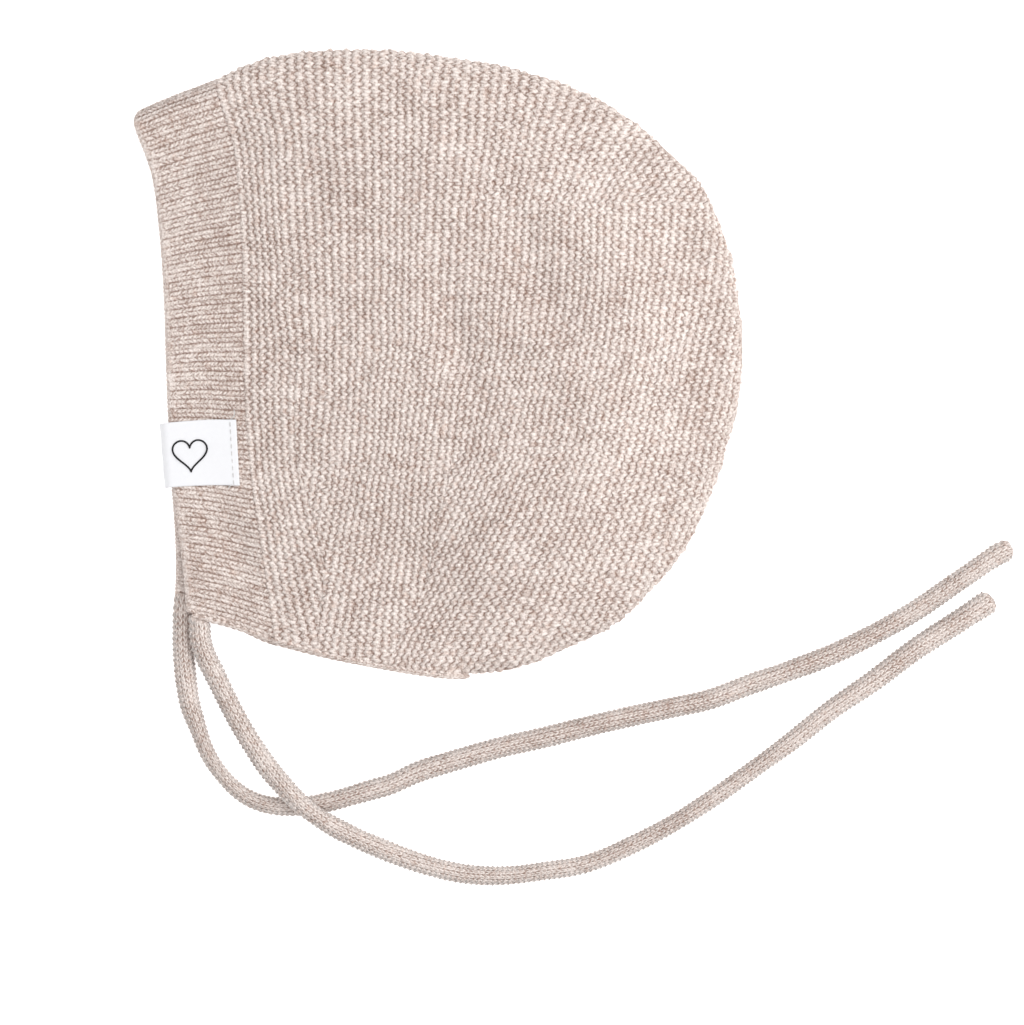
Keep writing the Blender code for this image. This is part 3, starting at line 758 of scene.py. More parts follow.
class Loops:
    """How the loops of one layer swing from side to side and differ from each other."""

    def __init__(self, knit, seed, low, steps):
        random = np.random.default_rng(seed)
        self.knit, self.low = knit, low
        self.shift, self.size, self.wide, self.slip = random.standard_normal((4, LAST_RIDGE + 4, steps))
        self.slow_shift, self.slow_rise = random.standard_normal((2, 20, 30))
        self.start = random.uniform(-1, 1, (LAST_RIDGE + 4, 12))

    def __call__(self, ridge, v):
        """The y, the stitch count and the swing at places counted in ridges and stitches."""
        y = self.low + v * self.knit.stitch + 0.00012 * wander(self.slow_rise, ridge / 5, v / 5)
        v = v + 0.30 * wander(self.start, ridge - 0.5, v / 10)
        loop = (ridge - 0.5, v * 2 - 0.5)
        loose = self.knit.unevenness
        swing = self.knit.swing * (1 + 0.5 * loose * wander(self.wide, *loop))
        swing = swing * np.sin(FULL_TURN * v + 0.9 * loose * wander(self.slip, *loop))
        swing = swing + 0.17 * loose * wander(self.shift, *loop)
        swing = swing + 0.12 * wander(self.slow_shift, ridge / 6, v / 6)
        return y, v, swing * np.clip(ridge * 2, 0, 1)

    def sizes(self, ridge, v):
        return 1 + 0.45 * self.knit.unevenness * wander(self.size, ridge - 0.5, v * 2 - 0.5)


def knit_crown_half(name, side, knit, material):
    """One layer of the crown in garter stitch."""
    per_stitch = 4
    per_ridge = 4
    low, high = -0.0930, 0.0920
    steps = int((high - low) / knit.stitch) * per_stitch
    rise = np.arange(steps + 1) / per_stitch
    loops = Loops(knit, 7 + side, low, steps // 2 + 4)
    fields = (
        (CHEEK_RIDGES, 0.0, 9.5, None, CHEEK_DART),
        (NECK_RIDGES, 6.0, 31.0, CHEEK_DART, NECK_DART),
        (BACK_RIDGES, 29.0, float(LAST_RIDGE), NECK_DART, None),
    )
    plans, spots, faces, darts, sizes = [], [], [], [], []
    count = 0
    for ridges, first, last, left, right in fields:
        columns = int((last - first) * per_ridge) + 1
        across = first + np.arange(columns) / per_ridge
        ridge, v = [grid.ravel() for grid in np.meshgrid(across, rise, indexing="ij")]
        plan, true_ridge, swing, v, at_dart = field_points(ridges, ridge, v, loops, left, right)
        plans.append(plan)
        spots.append(np.stack((true_ridge - swing + knit.swing * np.sin(FULL_TURN * v), v), -1))
        sizes.append(garter_relief(true_ridge - swing, v) * loops.sizes(ridge, v))
        faces.append(grid_faces(columns, steps + 1, count))
        darts.append(at_dart)
        count += columns * (steps + 1)
    plan, spots = np.vstack(plans), np.vstack(spots)
    relief, at_dart = np.concatenate(sizes), np.concatenate(darts)
    places, out, past = lay(plan, side)
    picked_up = np.exp(-(spots[:, 0] / PICKED_UP_WIDTH) ** 2)
    relief = np.where(at_dart | past, DART_RELIEF, relief) * (1 - picked_up) + PICKED_UP_RELIEF * picked_up
    proud = (relief - (NEAR_SINK if side > 0 else FAR_SINK)) * knit.ridge_relief
    faces = drop_flat(np.vstack(faces), places, past)
    number, faces = weld(places, faces)
    if side < 0:
        faces = [face[::-1] for face in faces]
    shown, first = np.unique(number, return_index=True)
    used = np.unique(np.concatenate([number[face] for face in faces]))
    rank = np.full(number.max() + 1, -1)
    rank[used] = np.arange(len(used))
    chosen = first[np.searchsorted(shown, used)]
    outer = places[chosen] + out[chosen] * proud[chosen][:, None]
    outer[:, 2] = np.maximum(outer[:, 2], FLOOR_SPACE)
    inner = places[chosen] - out[chosen] * (CROWN_WALL - INNER_SPACE)
    ranked = [rank[number[face]] for face in faces]
    corners, spots_at = two_skins(ranked, [spots[face] for face in faces], len(used))
    piece = make_piece(name, np.vstack((outer, inner)), corners, material, np.concatenate(spots_at))
    lighten_inside(piece, len(outer), INSIDE_SHARE)
    return piece


def rib_relief(u, v, valley, stroke):
    """Relief of knitted V stitches, u across a column from 0 to 1, v along it in stitches."""
    u = u - np.floor(u)
    legs = np.abs(np.sin(FULL_TURN * u)) ** 0.8
    slant = np.abs(u - 0.5) * 2
    strand = 1 - stroke + stroke * np.cos(FULL_TURN * (v + LEG_SLANT * slant))
    hump = np.sin(math.pi * u)
    return legs * strand * (1 - valley) + hump * valley


def band_lines(knit):
    """Lines across the band from the seam outside, round the nose and back inside, with stitch counts."""
    nose = BAND_WALL / 2
    per_stitch = 4
    width = BAND_WIDTH - nose
    outside = int(width / knit.rib_stitch * per_stitch)
    turn = 16
    inside = 22
    lines = [("outer", 1 - k / outside, k / per_stitch) for k in range(outside + 1)]
    last = outside / per_stitch
    lines += [("nose", math.pi * k / turn, last + nose * math.pi * k / turn / knit.rib_stitch)
              for k in range(1, turn)]
    last += nose * math.pi / knit.rib_stitch
    lines += [("inner", k / inside, last + width * k / inside / knit.rib_stitch) for k in range(inside + 1)]
    return lines


def folded_from(knit):
    """The stitch from which the band is worn smooth, counted from the seam."""
    return (BAND_WIDTH - FOLD_REACH_BACK) / knit.rib_stitch


def top_height(rows):
    """Height at which a section has run out past the fold by the fold's spare length."""
    past = 1.03
    points = np.vstack((plan_points(rows, 1.0), plan_points(rows, past)))
    signed = to_fold(points)[0]
    at_end, beyond = signed[:len(rows)], signed[len(rows):]
    return 1 + (-FOLD_SPARE - at_end) / (beyond - at_end) * (past - 1)


def band_rows(share, heights):
    """Section places from the nose (0) to the seam (1)."""
    first = row_step(np.zeros_like(heights), heights, BAND_WALL / 2)
    return first + (SEAM_ROW - first) * share


def band_surface(share, shares_up, side):
    """Outer places and directions of one line across the ribs."""
    heights = shares_up.copy()
    for _ in range(2):
        rows = band_rows(share, np.clip(heights, 0, 1))
        heights = shares_up * top_height(rows)
    return lay(plan_points(rows, heights), side, rows, heights)[:2]


def knit_band(knit, material):
    """The rib band as one strip: up the near layer, over the top fold and down the far layer."""
    edge = np.linalg.norm(np.diff(plan_points(0.0, np.linspace(0, 1, 30)), axis=0), axis=1).sum() + FOLD_SPARE
    ribs = round(edge / knit.rib)
    per_rib = 6
    shares = np.arange(ribs * per_rib + 1) / (ribs * per_rib)
    lines = band_lines(knit)
    random = np.random.default_rng(3)
    rings = []
    for side in (1, -1):
        nose_out = band_surface(0.0, shares, side)
        nose_next = band_surface(0.08, shares, side)
        middle = nose_out[0] - nose_out[1] * (BAND_WALL / 2)
        behind = nose_next[0] - nose_next[1] * (BAND_WALL / 2)
        ahead = unit_across(middle - behind, nose_out[1])
        columns = []
        for kind, at, v in lines:
            if kind == "nose":
                out = nose_out[1] * math.cos(at) + ahead * math.sin(at)
                base = middle + out * (BAND_WALL / 2)
            else:
                base, out = band_surface(at, shares, side)
                if kind == "inner":
                    base = base - out * BAND_WALL
                    out = -out
            u = shares * ribs + (0.0 if side > 0 else 0.5)
            relief = rib_relief(u, np.full_like(u, v), RIB_VALLEY, RIB_STROKE)
            relief = relief * (1 + STROKE_UNEVENNESS * random.standard_normal(len(u)))
            worn = min(1.0, max(0.0, (v - folded_from(knit)) * FOLD_SMOOTHING))
            flat = 0.45 * worn if kind != "inner" else 0.0
            sink = RIB_FLOOR_SINK if side < 0 and kind == "outer" else RIB_SINK
            proud = (relief * (1 - flat) + 0.6 * flat - sink) * knit.rib_relief
            columns.append((base + out * proud[:, None], np.stack((u, np.full_like(u, v)), -1)))
        grid = np.stack([places for places, _ in columns], 1)
        stitches = np.stack([counts for _, counts in columns], 1)
        if side < 0:
            grid, stitches = grid[::-1][1:], stitches[::-1][1:]
        rings.append((grid, stitches))
    places = np.vstack([grid for grid, _ in rings])
    stitches = np.vstack([counts for _, counts in rings])
    columns, across = places.shape[:2]
    faces = grid_faces(columns, across).tolist()
    seam_gap = [[k * across, k * across + across - 1, (k + 1) * across + across - 1, (k + 1) * across]
                for k in range(columns - 1)]
    ends = [list(range(across)), [(columns - 1) * across + k for k in reversed(range(across))]]
    faces = [face[::-1] for face in faces + seam_gap] + ends
    return make_piece("front_band_rib", places.reshape(-1, 3), faces, material, stitches.reshape(-1, 2))


def neck_line(side, count):
    """One layer's neck edge at the wall's middle from front to nape, with directions away from it."""
    rows = np.linspace(float(row_step(np.array([0.0]), np.array([0.0]), BAND_WALL / 2)[0]), NAPE_ROW, count)
    wall = np.where(rows < SEAM_ROW, BAND_WALL, CROWN_WALL)
    places, out, _ = lay(plan_points(rows, 0.0), side, rows, np.zeros(count))
    down = plan_points(rows, 0.0) - plan_points(rows, 0.06)
    middle = np.column_stack((places[:, :2], (places - out * (wall / 2)[:, None])[:, 2]))
    return middle, np.column_stack((down, np.zeros(count)))


def work_edging(knit, material):
    """A chain of bound-off stitches along the neck edge, round the nape and back."""
    count = 261
    layers = zip(neck_line(1, count), neck_line(-1, count))
    middle, down = [np.vstack((near, far[::-1][1:])) for near, far in layers]
    along = unit(np.gradient(middle, axis=0))
    down = unit_across(down, along)
    out = np.cross(down, along)
    length = reach_along(middle)
    v = length / knit.stitch
    on_band = 1 - ease((length - BAND_WIDTH * 0.8) / (BAND_WIDTH * 0.5))
    on_band = np.maximum(on_band, on_band[::-1])
    sides = 12
    rings = []
    for k in range(sides):
        turn = FULL_TURN * k / sides
        link = 0.84 + 0.26 * np.abs(np.sin(math.pi * (v + 0.35 * math.cos(turn))))
        across = (EDGING_THICKNESS * 0.5 + 0.0004 * on_band) * math.sin(turn) * link
        deep = EDGING_DEPTH * (0.42 + (0.80 + 0.15 * on_band) * math.cos(turn) * link)
        rings.append(middle + out * across[:, None] + down * deep[:, None])
    places = np.stack(rings, 1)
    places[..., 2] = np.maximum(places[..., 2], LOOSE_FLOOR_SPACE)
    stitches = tube_stitches(np.arange(sides) * 2 / sides, v)
    faces = tube_faces(len(middle), sides)
    return make_piece("neck_edging_chain", places.reshape(-1, 3), faces, material, stitches)


def smooth_route(route, step):
    """Even points on a smooth curve through a route's own points."""
    raised = np.array([(x, y, (lift + 0.5) * TIE_DIAMETER) for x, y, lift in route])
    fine = 24
    at = np.arange((len(raised) - 1) * fine + 1) / fine
    dense = np.stack([along_table(column, at) for column in raised.T], -1)
    reach = reach_along(dense)
    count = int(round(reach[-1] / step)) + 1
    return read_along(dense, reach, np.linspace(0, reach[-1], count)), reach[-1]


def knit_tie(name, route, root, widths, knit, seed, material):
    """A knitted tube of V stitches, wider at its root and closed round at its free end."""
    per_stitch = 3
    middle, length = smooth_route(route, knit.tie_stitch / per_stitch)
    count = len(middle)
    reach = np.linspace(0, length, count)
    ahead = unit(np.gradient(middle, axis=0))
    level = unit(np.cross(UPWARD, ahead))
    up = np.cross(ahead, level)
    random = np.random.default_rng(seed)
    swells, twists = 40, 9
    slow = np.interp(reach, np.linspace(0, length, swells), random.standard_normal(swells))
    wide = 1 - ease((reach - root["wide"]) / ROOT_EASE)
    spread = np.interp(reach / length, *np.array(widths).T) + ROOT_SPREAD * wide + 0.025 * slow
    left = length - reach
    cap = TIE_DIAMETER * 0.42
    closing = np.sqrt(np.clip(1 - (1 - np.clip(left / cap, 0, 1)) ** 2, 0.02, 1))
    # A small bead stands behind the closed end, at this distance and for this length.
    bead, bead_length = 0.004, 0.003
    closing *= 1 + 0.06 * np.exp(-((left - bead) / bead_length) ** 2)
    columns = 4
    around = knit.tie_wales * columns
    radius = TIE_DIAMETER / 2
    v = reach / knit.tie_stitch
    twist = 0.10 * np.interp(reach, np.linspace(0, length, twists), random.standard_normal(twists))
    rings = []
    for k in range(around):
        u = k / columns
        turn = FULL_TURN * k / around + twist
        relief = rib_relief(np.full(count, u), v, TIE_VALLEY, TIE_STROKE)
        relief = relief * (1 + STROKE_UNEVENNESS * random.standard_normal(count))
        size = (radius * 0.99 + (relief - 0.8) * knit.tie_relief) * closing
        across = size * spread * np.cos(turn)
        high = size * np.sin(turn) * (0.95 - 0.12 * wide)
        back = (root["pull"] + root["slant"] * across) * np.exp(-reach / ROOT_FADE)
        rings.append(middle + level * across[:, None] + up * high[:, None] - ahead * back[:, None])
    places = np.stack(rings, 1)
    places[..., 2] = np.maximum(places[..., 2], TIE_FLOOR_SPACE)
    faces = [face[::-1] for face in tube_faces(count, around)]
    stitches = tube_stitches(np.arange(around) / columns, v)
    return make_piece(name, places.reshape(-1, 3), faces, material, stitches), middle, length


# Loose fibres.

def bare_skin(piece, lowest):
    """Places and directions of a piece's outer points that don't look further down than lowest."""
    vertices = piece.data.vertices
    read = []
    for field in ("co", "normal"):
        values = np.empty(len(vertices) * 3, np.float32)
        vertices.foreach_get(field, values)
        read.append(values.reshape(-1, 3).astype(float))
    places, out = read
    seen = out[:, 2] > lowest
    return places[seen], out[seen]


def grow_fuzz(pieces, count, material):
    """Short curled fibres on the knit, most of them where its outline turns away from above."""
    random = np.random.default_rng(21)
    places, out = [np.vstack(column) for column in zip(*(bare_skin(piece, -0.5) for piece in pieces))]
    turned = np.exp(-(out[:, 2] / 0.45) ** 2) + 0.06
    chosen = random.choice(len(places), count, replace=False, p=turned / turned.sum())
    places, out = places[chosen], out[chosen]
    lean = unit_across(random.standard_normal((count, 3)), out)
    length = (0.0007 + 0.0016 * random.random(count) ** 2)[:, None]
    curl = random.uniform(-1.2, 1.2, (count, 1))
    across = np.cross(out, lean)
    rings, steps, sides = [], 4, 3
    for k in range(steps):
        share = k / (steps - 1)
        bend = lean * share ** 2 * 0.7
        path = places + length * (out * share * 0.75 + bend + across * curl * share ** 2 * 0.5)
        path[:, 2] = np.maximum(path[:, 2], LOOSE_FLOOR_SPACE)
        thick = FIBRE_WIDTH / 2 * (1 - 0.7 * share)
        for side in range(sides):
            turn = FULL_TURN * side / sides
            rings.append(path + (lean * math.cos(turn) + across * math.sin(turn)) * thick)
    grid = np.stack(rings, 1).reshape(-1, 3)
    fibre = tube_faces(steps, sides)
    base = (np.arange(count) * steps * sides)[:, None, None]
    quads = (base + np.array(fibre[:-2])).reshape(-1, 4)
    ends = (base + np.array(fibre[-2:])).reshape(-1, 3)
    return make_piece("loose_fibres", grid, quads.tolist() + ends.tolist(), material)


# The label.

def front_edge_span():
    """The straight distance between the ends of the band's front edge."""
    return np.linalg.norm(plan_points(0.0, 1.0) - plan_points(0.0, 0.0))


def label_heights(count, spread=1.0):
    """Even heights over the label's width, or over a share of it."""
    length = front_edge_span()
    return LABEL_CENTRE + np.linspace(-0.5, 0.5, count) * LABEL_WIDTH * spread / length


def layer_at(rows, heights, depth):
    places, out, _ = lay(plan_points(rows, heights), 1, rows, heights)
    return places - out * depth


def label_place(heights, inset):
    """Section places and heights at an inset from the band's edge, along lines that lean over the ribs."""
    length = front_edge_span()
    share = (heights - LABEL_CENTRE) * length / LABEL_WIDTH + 0.5
    lean = LABEL_LEAN[0] + (LABEL_LEAN[1] - LABEL_LEAN[0]) * share
    return row_step(np.full_like(heights, 0.5), heights, inset), heights + lean * inset / length


def label_lines(heights, offset, leaf_count, turn_count):
    """Lines of the folded tape over the band, from its outer end round the fold to its inner end."""
    nose = BAND_WALL / 2
    lines = []
    outer = []
    inner = []
    for inset in np.linspace(LABEL_REACH, nose, leaf_count):
        place = label_place(heights, inset)
        outer.append(layer_at(*place, -offset))
        inner.append(layer_at(*place, BAND_WALL + offset))
    middle = (outer[-1] + inner[-1]) / 2
    up = (outer[-1] - inner[-1]) / 2
    along = outer[-1] - outer[-2]
    ahead = along - up * ((along * up).sum(1) / (up * up).sum(1))[:, None]
    ahead *= (np.linalg.norm(up, axis=1) / np.linalg.norm(ahead, axis=1))[:, None]
    for k in range(1, turn_count):
        turn = math.pi * k / turn_count
        lines.append(middle + up * math.cos(turn) + ahead * math.sin(turn))
    return outer + lines + inner[::-1]


def sew_label(material):
    """The woven tape folded over the band's edge, a closed thin body."""
    across, leaf_lines, fold_lines = 45, 46, 12
    heights = label_heights(across)
    near = np.stack(label_lines(heights, LABEL_LIFT, leaf_lines, fold_lines), 0)
    away = np.stack(label_lines(heights, LABEL_LIFT + LABEL_THICKNESS, leaf_lines, fold_lines), 0)
    lines = len(near)
    share = np.linspace(0, 1, across)[None, :]
    along = np.arange(lines)[:, None] / lines
    ripple = 0.00006 * np.sin(9 * along + 3 * share) + 0.00005 * np.cos(17 * share + 5 * along)
    away = away + unit(away - near) * (0.00006 + ripple)[..., None]
    places = np.vstack((near.reshape(-1, 3), away.reshape(-1, 3)))
    shift = lines * across
    under = grid_faces(lines, across).tolist()
    over = [[corner + shift for corner in reversed(face)] for face in under]
    rim = []
    border = [(0, j) for j in range(across)] + [(i, across - 1) for i in range(1, lines)]
    border += [(lines - 1, j) for j in range(across - 2, -1, -1)] + [(i, 0) for i in range(lines - 2, 0, -1)]
    numbers = [i * across + j for i, j in border]
    for a, b in zip(numbers, numbers[1:] + numbers[:1]):
        rim.append([a, b, b + shift, a + shift])
    # The weave is counted in millimetres, and this is the mean step between lines.
    line_step = 0.45
    counts = np.broadcast_arrays(np.arange(lines)[:, None] * line_step, share * LABEL_WIDTH * 1000)
    spots = np.stack(counts, -1).reshape(-1, 2)
    return make_piece("label_tape", places, under + over + rim, material, np.vstack((spots, spots)))


def tape_height(points, proud):
    """Places on the label's outer face over plan points."""
    rows, heights = locate(points)
    return layer_at(rows, heights, -(LABEL_LIFT + LABEL_THICKNESS + TAPE_SWELL + proud))


def thread_rings(middle, radius, sides, closed=False):
    """Rings of points round a thread's path."""
    if closed:
        ahead = np.roll(middle, -1, axis=0) - np.roll(middle, 1, axis=0)
    else:
        ahead = np.gradient(middle, axis=0)
    ahead = unit(ahead)
    level = np.cross(UPWARD, ahead)
    level /= np.maximum(np.linalg.norm(level, axis=1), 1e-6)[:, None]
    up = np.cross(ahead, level)
    rings = []
    for k in range(sides):
        turn = FULL_TURN * k / sides
        across = level * math.cos(turn) + up * math.sin(turn)
        rings.append(middle + across * np.reshape(radius, (-1, 1)))
    return np.stack(rings, 1).reshape(-1, 3)


def thread_piece(name, paths, radius, material, sides=8, closed=False):
    """Threads along paths of plan points and heights, joined into one mesh."""
    places, faces, counts = [], [], []
    first = 0
    for path in paths:
        count = len(path)
        share = np.linspace(0, 1, count)
        taper = np.ones(count) if closed else np.sqrt(np.clip(1 - np.abs(2 * share - 1) ** 6, 0.05, 1))
        places.append(thread_rings(path, radius * taper, sides, closed))
        counts.append(tube_stitches(np.arange(sides) / sides, reach_along(path) / MM))
        faces += tube_faces(count, sides, first, closed)
        first += count * sides
    return make_piece(name, np.vstack(places), faces, material, np.vstack(counts))


def sewing_line():
    """The dashes of sewing thread that hold the label's end."""
    stitches, pitch, seen, points = 9, 9, 7, 13
    heights = label_heights(stitches * pitch, 0.98)
    line = plan_points(*label_place(heights, LABEL_REACH - SEWING_INSET))
    arch = np.sin(np.linspace(0, math.pi, points))
    dashes = []
    for start in range(0, stitches * pitch, pitch):
        dash = read_along(line[start:start + seen], np.arange(seen), np.linspace(0, seen - 1, points))
        dashes.append(tape_height(dash, 0.0) + UPWARD * (0.00014 * arch - 0.00004)[:, None])
    return dashes


def loose_ends():
    """Two cut thread ends beside the label's corners."""
    paths = []
    for end, lean, rise in ((1, (0.0010, 0.0030), 0.0009), (0, (-0.0016, -0.0011), 0.0007)):
        height = label_heights(2)[end:end + 1]
        start = plan_points(*label_place(height, LABEL_REACH - SEWING_INSET))[0]
        share = np.linspace(0, 1, 15)
        side = np.array((lean[1], -lean[0])) * 0.25
        plan = start + share[:, None] * np.array(lean) + np.sin(share * math.pi)[:, None] * side
        lifted = tape_height(plan, 0.0)
        lifted[:, 2] += np.sin(share * math.pi * 0.8) * rise
        paths.append(lifted)
    return paths


def heart_path():
    """A plain heart outline, set along the label."""
    turn = np.linspace(0, FULL_TURN, 97)[:-1]
    x = 16 * np.sin(turn) ** 3
    y = 13 * np.cos(turn) - 5 * np.cos(2 * turn) - 2 * np.cos(3 * turn) - np.cos(4 * turn)
    size = 0.00030
    height = label_heights(3)[1:2]
    centre, ahead = [plan_points(*label_place(height, inset))[0] for inset in (0.0080, 0.0100)]
    right = (ahead - centre) / np.linalg.norm(ahead - centre)
    up = np.array((-right[1], right[0]))
    plan = centre + (x * size)[:, None] * right + (y * size)[:, None] * up
    return tape_height(plan, 0.00002)


# Materials.

class Value:
    """A shader socket that takes part in Python arithmetic, each operation adding its Math node."""

    def __init__(self, shader, socket):
        self.shader = shader
        self.socket = socket

    def __add__(self, other):
        return self.shader.math("ADD", self, other)

    def __radd__(self, other):
        return self.shader.math("ADD", other, self)

    def __sub__(self, other):
        return self.shader.math("SUBTRACT", self, other)

    def __rsub__(self, other):
        return self.shader.math("SUBTRACT", other, self)

    def __mul__(self, other):
        return self.shader.math("MULTIPLY", self, other)

    def __rmul__(self, other):
        return self.shader.math("MULTIPLY", other, self)

    def __pow__(self, other):
        return self.shader.math("POWER", self, other)


class Shader:
    """A material's node tree under construction."""

    def __init__(self, name):
        self.material = bpy.data.materials.new(name)
        self.material.use_nodes = True
        self.tree = self.material.node_tree
        self.tree.nodes.clear()

    def node(self, kind, settings=None, sockets=None):
        """Adds a node, with its settings first and then its sockets' values or links."""
        made = self.tree.nodes.new(kind)
        for key, value in (settings or {}).items():
            if key == "stops":
                self.set_stops(made.color_ramp, value)
            else:
                setattr(made, key, value)
        for key, value in (sockets or {}).items():
            if isinstance(value, Value):
                self.tree.links.new(value.socket, made.inputs[key])
            else:
                made.inputs[key].default_value = value
        return made

    def set_stops(self, ramp, stops):
        while len(ramp.elements) < len(stops):
            ramp.elements.new(0.5)
        for element, (place, colour) in zip(ramp.elements, stops):
            element.position = place
            element.color = (*colour, 1.0)

    def math(self, operation, *values, clamp=False):
        settings = {"operation": operation, "use_clamp": clamp}
        made = self.node("ShaderNodeMath", settings, dict(enumerate(values)))
        return Value(self, made.outputs[0])

    def sine(self, turns):
        return self.math("SINE", turns * FULL_TURN)

    def cosine(self, turns):
        return self.math("COSINE", turns * FULL_TURN)

    def positive(self, value):
        return self.math("ABSOLUTE", value)

    def bump(self, strength, distance, height):
        return self.output("ShaderNodeBump", "Normal", None,
                           {"Strength": strength, "Distance": distance, "Height": height})

    def output(self, kind, name, settings=None, sockets=None):
        return Value(self, self.node(kind, settings, sockets).outputs[name])

    def mix(self, share, first, second, blend="MIX"):
        settings = {"data_type": "RGBA", "blend_type": blend}
        made = self.node("ShaderNodeMix", settings, {0: share, 6: first, 7: second})
        return Value(self, made.outputs[2])

    def ramp(self, share, stops):
        return self.output("ShaderNodeValToRGB", "Color", {"stops": stops}, {"Fac": share})

    def noise(self, place, scale, detail=2.0, roughness=0.5):
        return self.output("ShaderNodeTexNoise", "Fac", None,
                           {"Vector": place, "Scale": scale, "Detail": detail, "Roughness": roughness})

    def stitches(self):
        """The stitch map's two counts."""
        read = self.output("ShaderNodeUVMap", "UV", {"uv_map": STITCH_MAP})
        parts = self.node("ShaderNodeSeparateXYZ", None, {"Vector": read})
        return Value(self, parts.outputs["X"]), Value(self, parts.outputs["Y"])

    def threads(self, across, along):
        """Fine uneven streaks, counted across and along the yarn."""
        spot = self.output("ShaderNodeCombineXYZ", "Vector", None, {"X": across, "Y": along, "Z": 0.0})
        return self.noise(spot, 1.0, 3.0, 0.65)

    def place(self):
        return self.output("ShaderNodeTexCoord", "Object")

    def finish(self, colour, rough, normal, sheen=0.0, glow=0.0):
        """Closes the tree with a Principled shader."""
        sockets = {"Base Color": colour, "Roughness": rough, "Metallic": 0.0}
        if glow:
            sockets.update({"Emission Color": (1.0, 1.0, 1.0, 1.0), "Emission Strength": glow})
        if sheen:
            sockets.update({"Sheen Weight": sheen, "Sheen Roughness": 0.5})
        if normal is not None:
            sockets["Normal"] = normal
        sockets["Specular IOR Level"] = 0.25
        shaded = self.output("ShaderNodeBsdfPrincipled", "BSDF", None, sockets)
        self.node("ShaderNodeOutputMaterial", None, {"Surface": shaded})
        return self.material


def whole(colour, share=1.0):
    """A colour at a share of its brightness, with its alpha."""
    return (*(channel * share for channel in colour), 1.0)


def loop_tint(shader, across, along):
    """A steady random value for each loop."""
    cell = shader.output("ShaderNodeCombineXYZ", "Vector", None,
                         {"X": shader.math("FLOOR", across), "Y": shader.math("FLOOR", along), "Z": 0.5})
    return shader.output("ShaderNodeTexWhiteNoise", "Value", {"noise_dimensions": "3D"}, {"Vector": cell})


def yarn_colour(shader, knit, relief, streaks, tint, place, mottle=0.28):
    """Heathered wool: painted shade in the grooves and painted highlight on the crests, with brown and white
    fibres and slow patches.
    """
    flecks = shader.noise(place, 1900.0, 2.0, 0.7)
    patches = shader.noise(place, 75.0, 2.0, 0.5)
    # The relief term paints shade in the grooves and highlight on the crests; streaks, flecks, loop tint and
    # patches are the wool's own tone.
    tone = relief * 0.62 + (streaks - 0.5) * 1.1 + (flecks - 0.5) * 1.5
    tone = tone + (tint - 0.5) * 0.22 + (patches - 0.5) * mottle
    # The lowest stop is painted groove shade with the darkest fibres; the highest, paler than the yarn, is
    # painted highlight with white fibres.
    wool = shader.ramp(tone, (
        (0.00, knit.groove_shade_yarn),
        (0.32, knit.middle_yarn),
        (0.60, knit.light_yarn),
        (0.92, [min(1.0, channel * 1.18) for channel in knit.light_yarn]),
    ))
    brown = shader.math("MULTIPLY", shader.noise(place, 430.0, 2.0, 0.6) - 0.54, 6.0, clamp=True)
    return shader.mix(brown * 0.5, wool, whole(knit.brown_yarn), "MULTIPLY")


def garter_yarn(name, knit):
    """Garter stitch: serpentine ridges of loops with plied yarn."""
    shader = Shader(name)
    u, v = shader.stitches()
    place = shader.place()
    ridge = u - shader.sine(v) * knit.swing
    yarn = shader.positive(shader.math("SINE", ridge * math.pi)) ** 0.7
    turned = v + (shader.math("FRACT", ridge) - 0.5) * LOOP_TURN
    slant = shader.positive(shader.cosine(turned)) ** 4.0
    relief = yarn * (1 - slant * LOOP_GAP) + (1 - yarn) * slant * GROOVE_FILL
    streaks = shader.threads(ridge * 6.0, v * 3.2)
    plies = shader.sine(ridge * 1.4 + v * 3.0)
    height = relief + streaks * 0.9 + plies * 0.05
    # The relief drives the painted shade and highlight of the colour as well as the bump.
    colour = yarn_colour(shader, knit, relief, streaks, loop_tint(shader, ridge, v * 2.0), place)
    return shader.finish(colour, 0.92, shader.bump(0.8, 0.0004, height), 0.1)


def rib_yarn(name, knit, valley, stroke, pale, folded_from=None, around=None, mottle=0.28):
    """Columns of V stitches filled out by a share, worn smooth from a fold's first stitch on if it is given.

    A tube with a number of columns around it gets painted light along its sides, where light comes through
    the fuzz.
    """
    shader = Shader(name)
    u, v = shader.stitches()
    place = shader.place()
    column = shader.math("FRACT", u)
    legs = shader.positive(shader.sine(column)) ** 0.8
    slant = shader.positive(column - 0.5) * 2.0
    phase = v + slant * LEG_SLANT
    strand = shader.cosine(phase) * stroke + (1 - stroke)
    hump = shader.math("SINE", column * math.pi)
    relief = legs * strand * (1 - valley) + hump * valley
    # From the fold's first stitch on, the relief is drawn toward a steady value, which smooths the bump,
    # evens out the painted groove shade and makes the fold lighter.
    if folded_from is not None:
        smooth = shader.math("MULTIPLY", v - folded_from, FOLD_SMOOTHING, clamp=True) * 0.6
        relief = relief * (1 - smooth) + smooth * 0.78
    streaks = shader.threads(u * 2.2, phase * 4.0)
    height = relief + streaks * 0.9
    # The relief, scaled, paints highlight on the crests and shade in the gaps between strokes.
    painted_shading = relief * pale
    if around is not None:
        # Painted light along the tube's sides.
        sides = shader.positive(shader.math("COSINE", u * (FULL_TURN / around))) ** 3.0
        painted_shading = painted_shading + sides * TIE_SIDE_PAINTED_LIGHT
    colour = yarn_colour(shader, knit, painted_shading, streaks, loop_tint(shader, u * 2.0, phase), place, mottle)
    return shader.finish(colour, 0.92, shader.bump(0.8, 0.00032, height), 0.1)


def fuzz_yarn(knit):
    """Pale single fibres."""
    shader = Shader("fuzz_yarn")
    tone = shader.noise(shader.place(), 300.0, 2.0, 0.5)
    colour = shader.ramp(tone, ((0.3, knit.middle_yarn), (0.6, knit.light_yarn)))
    return shader.finish(colour, 0.8, None)


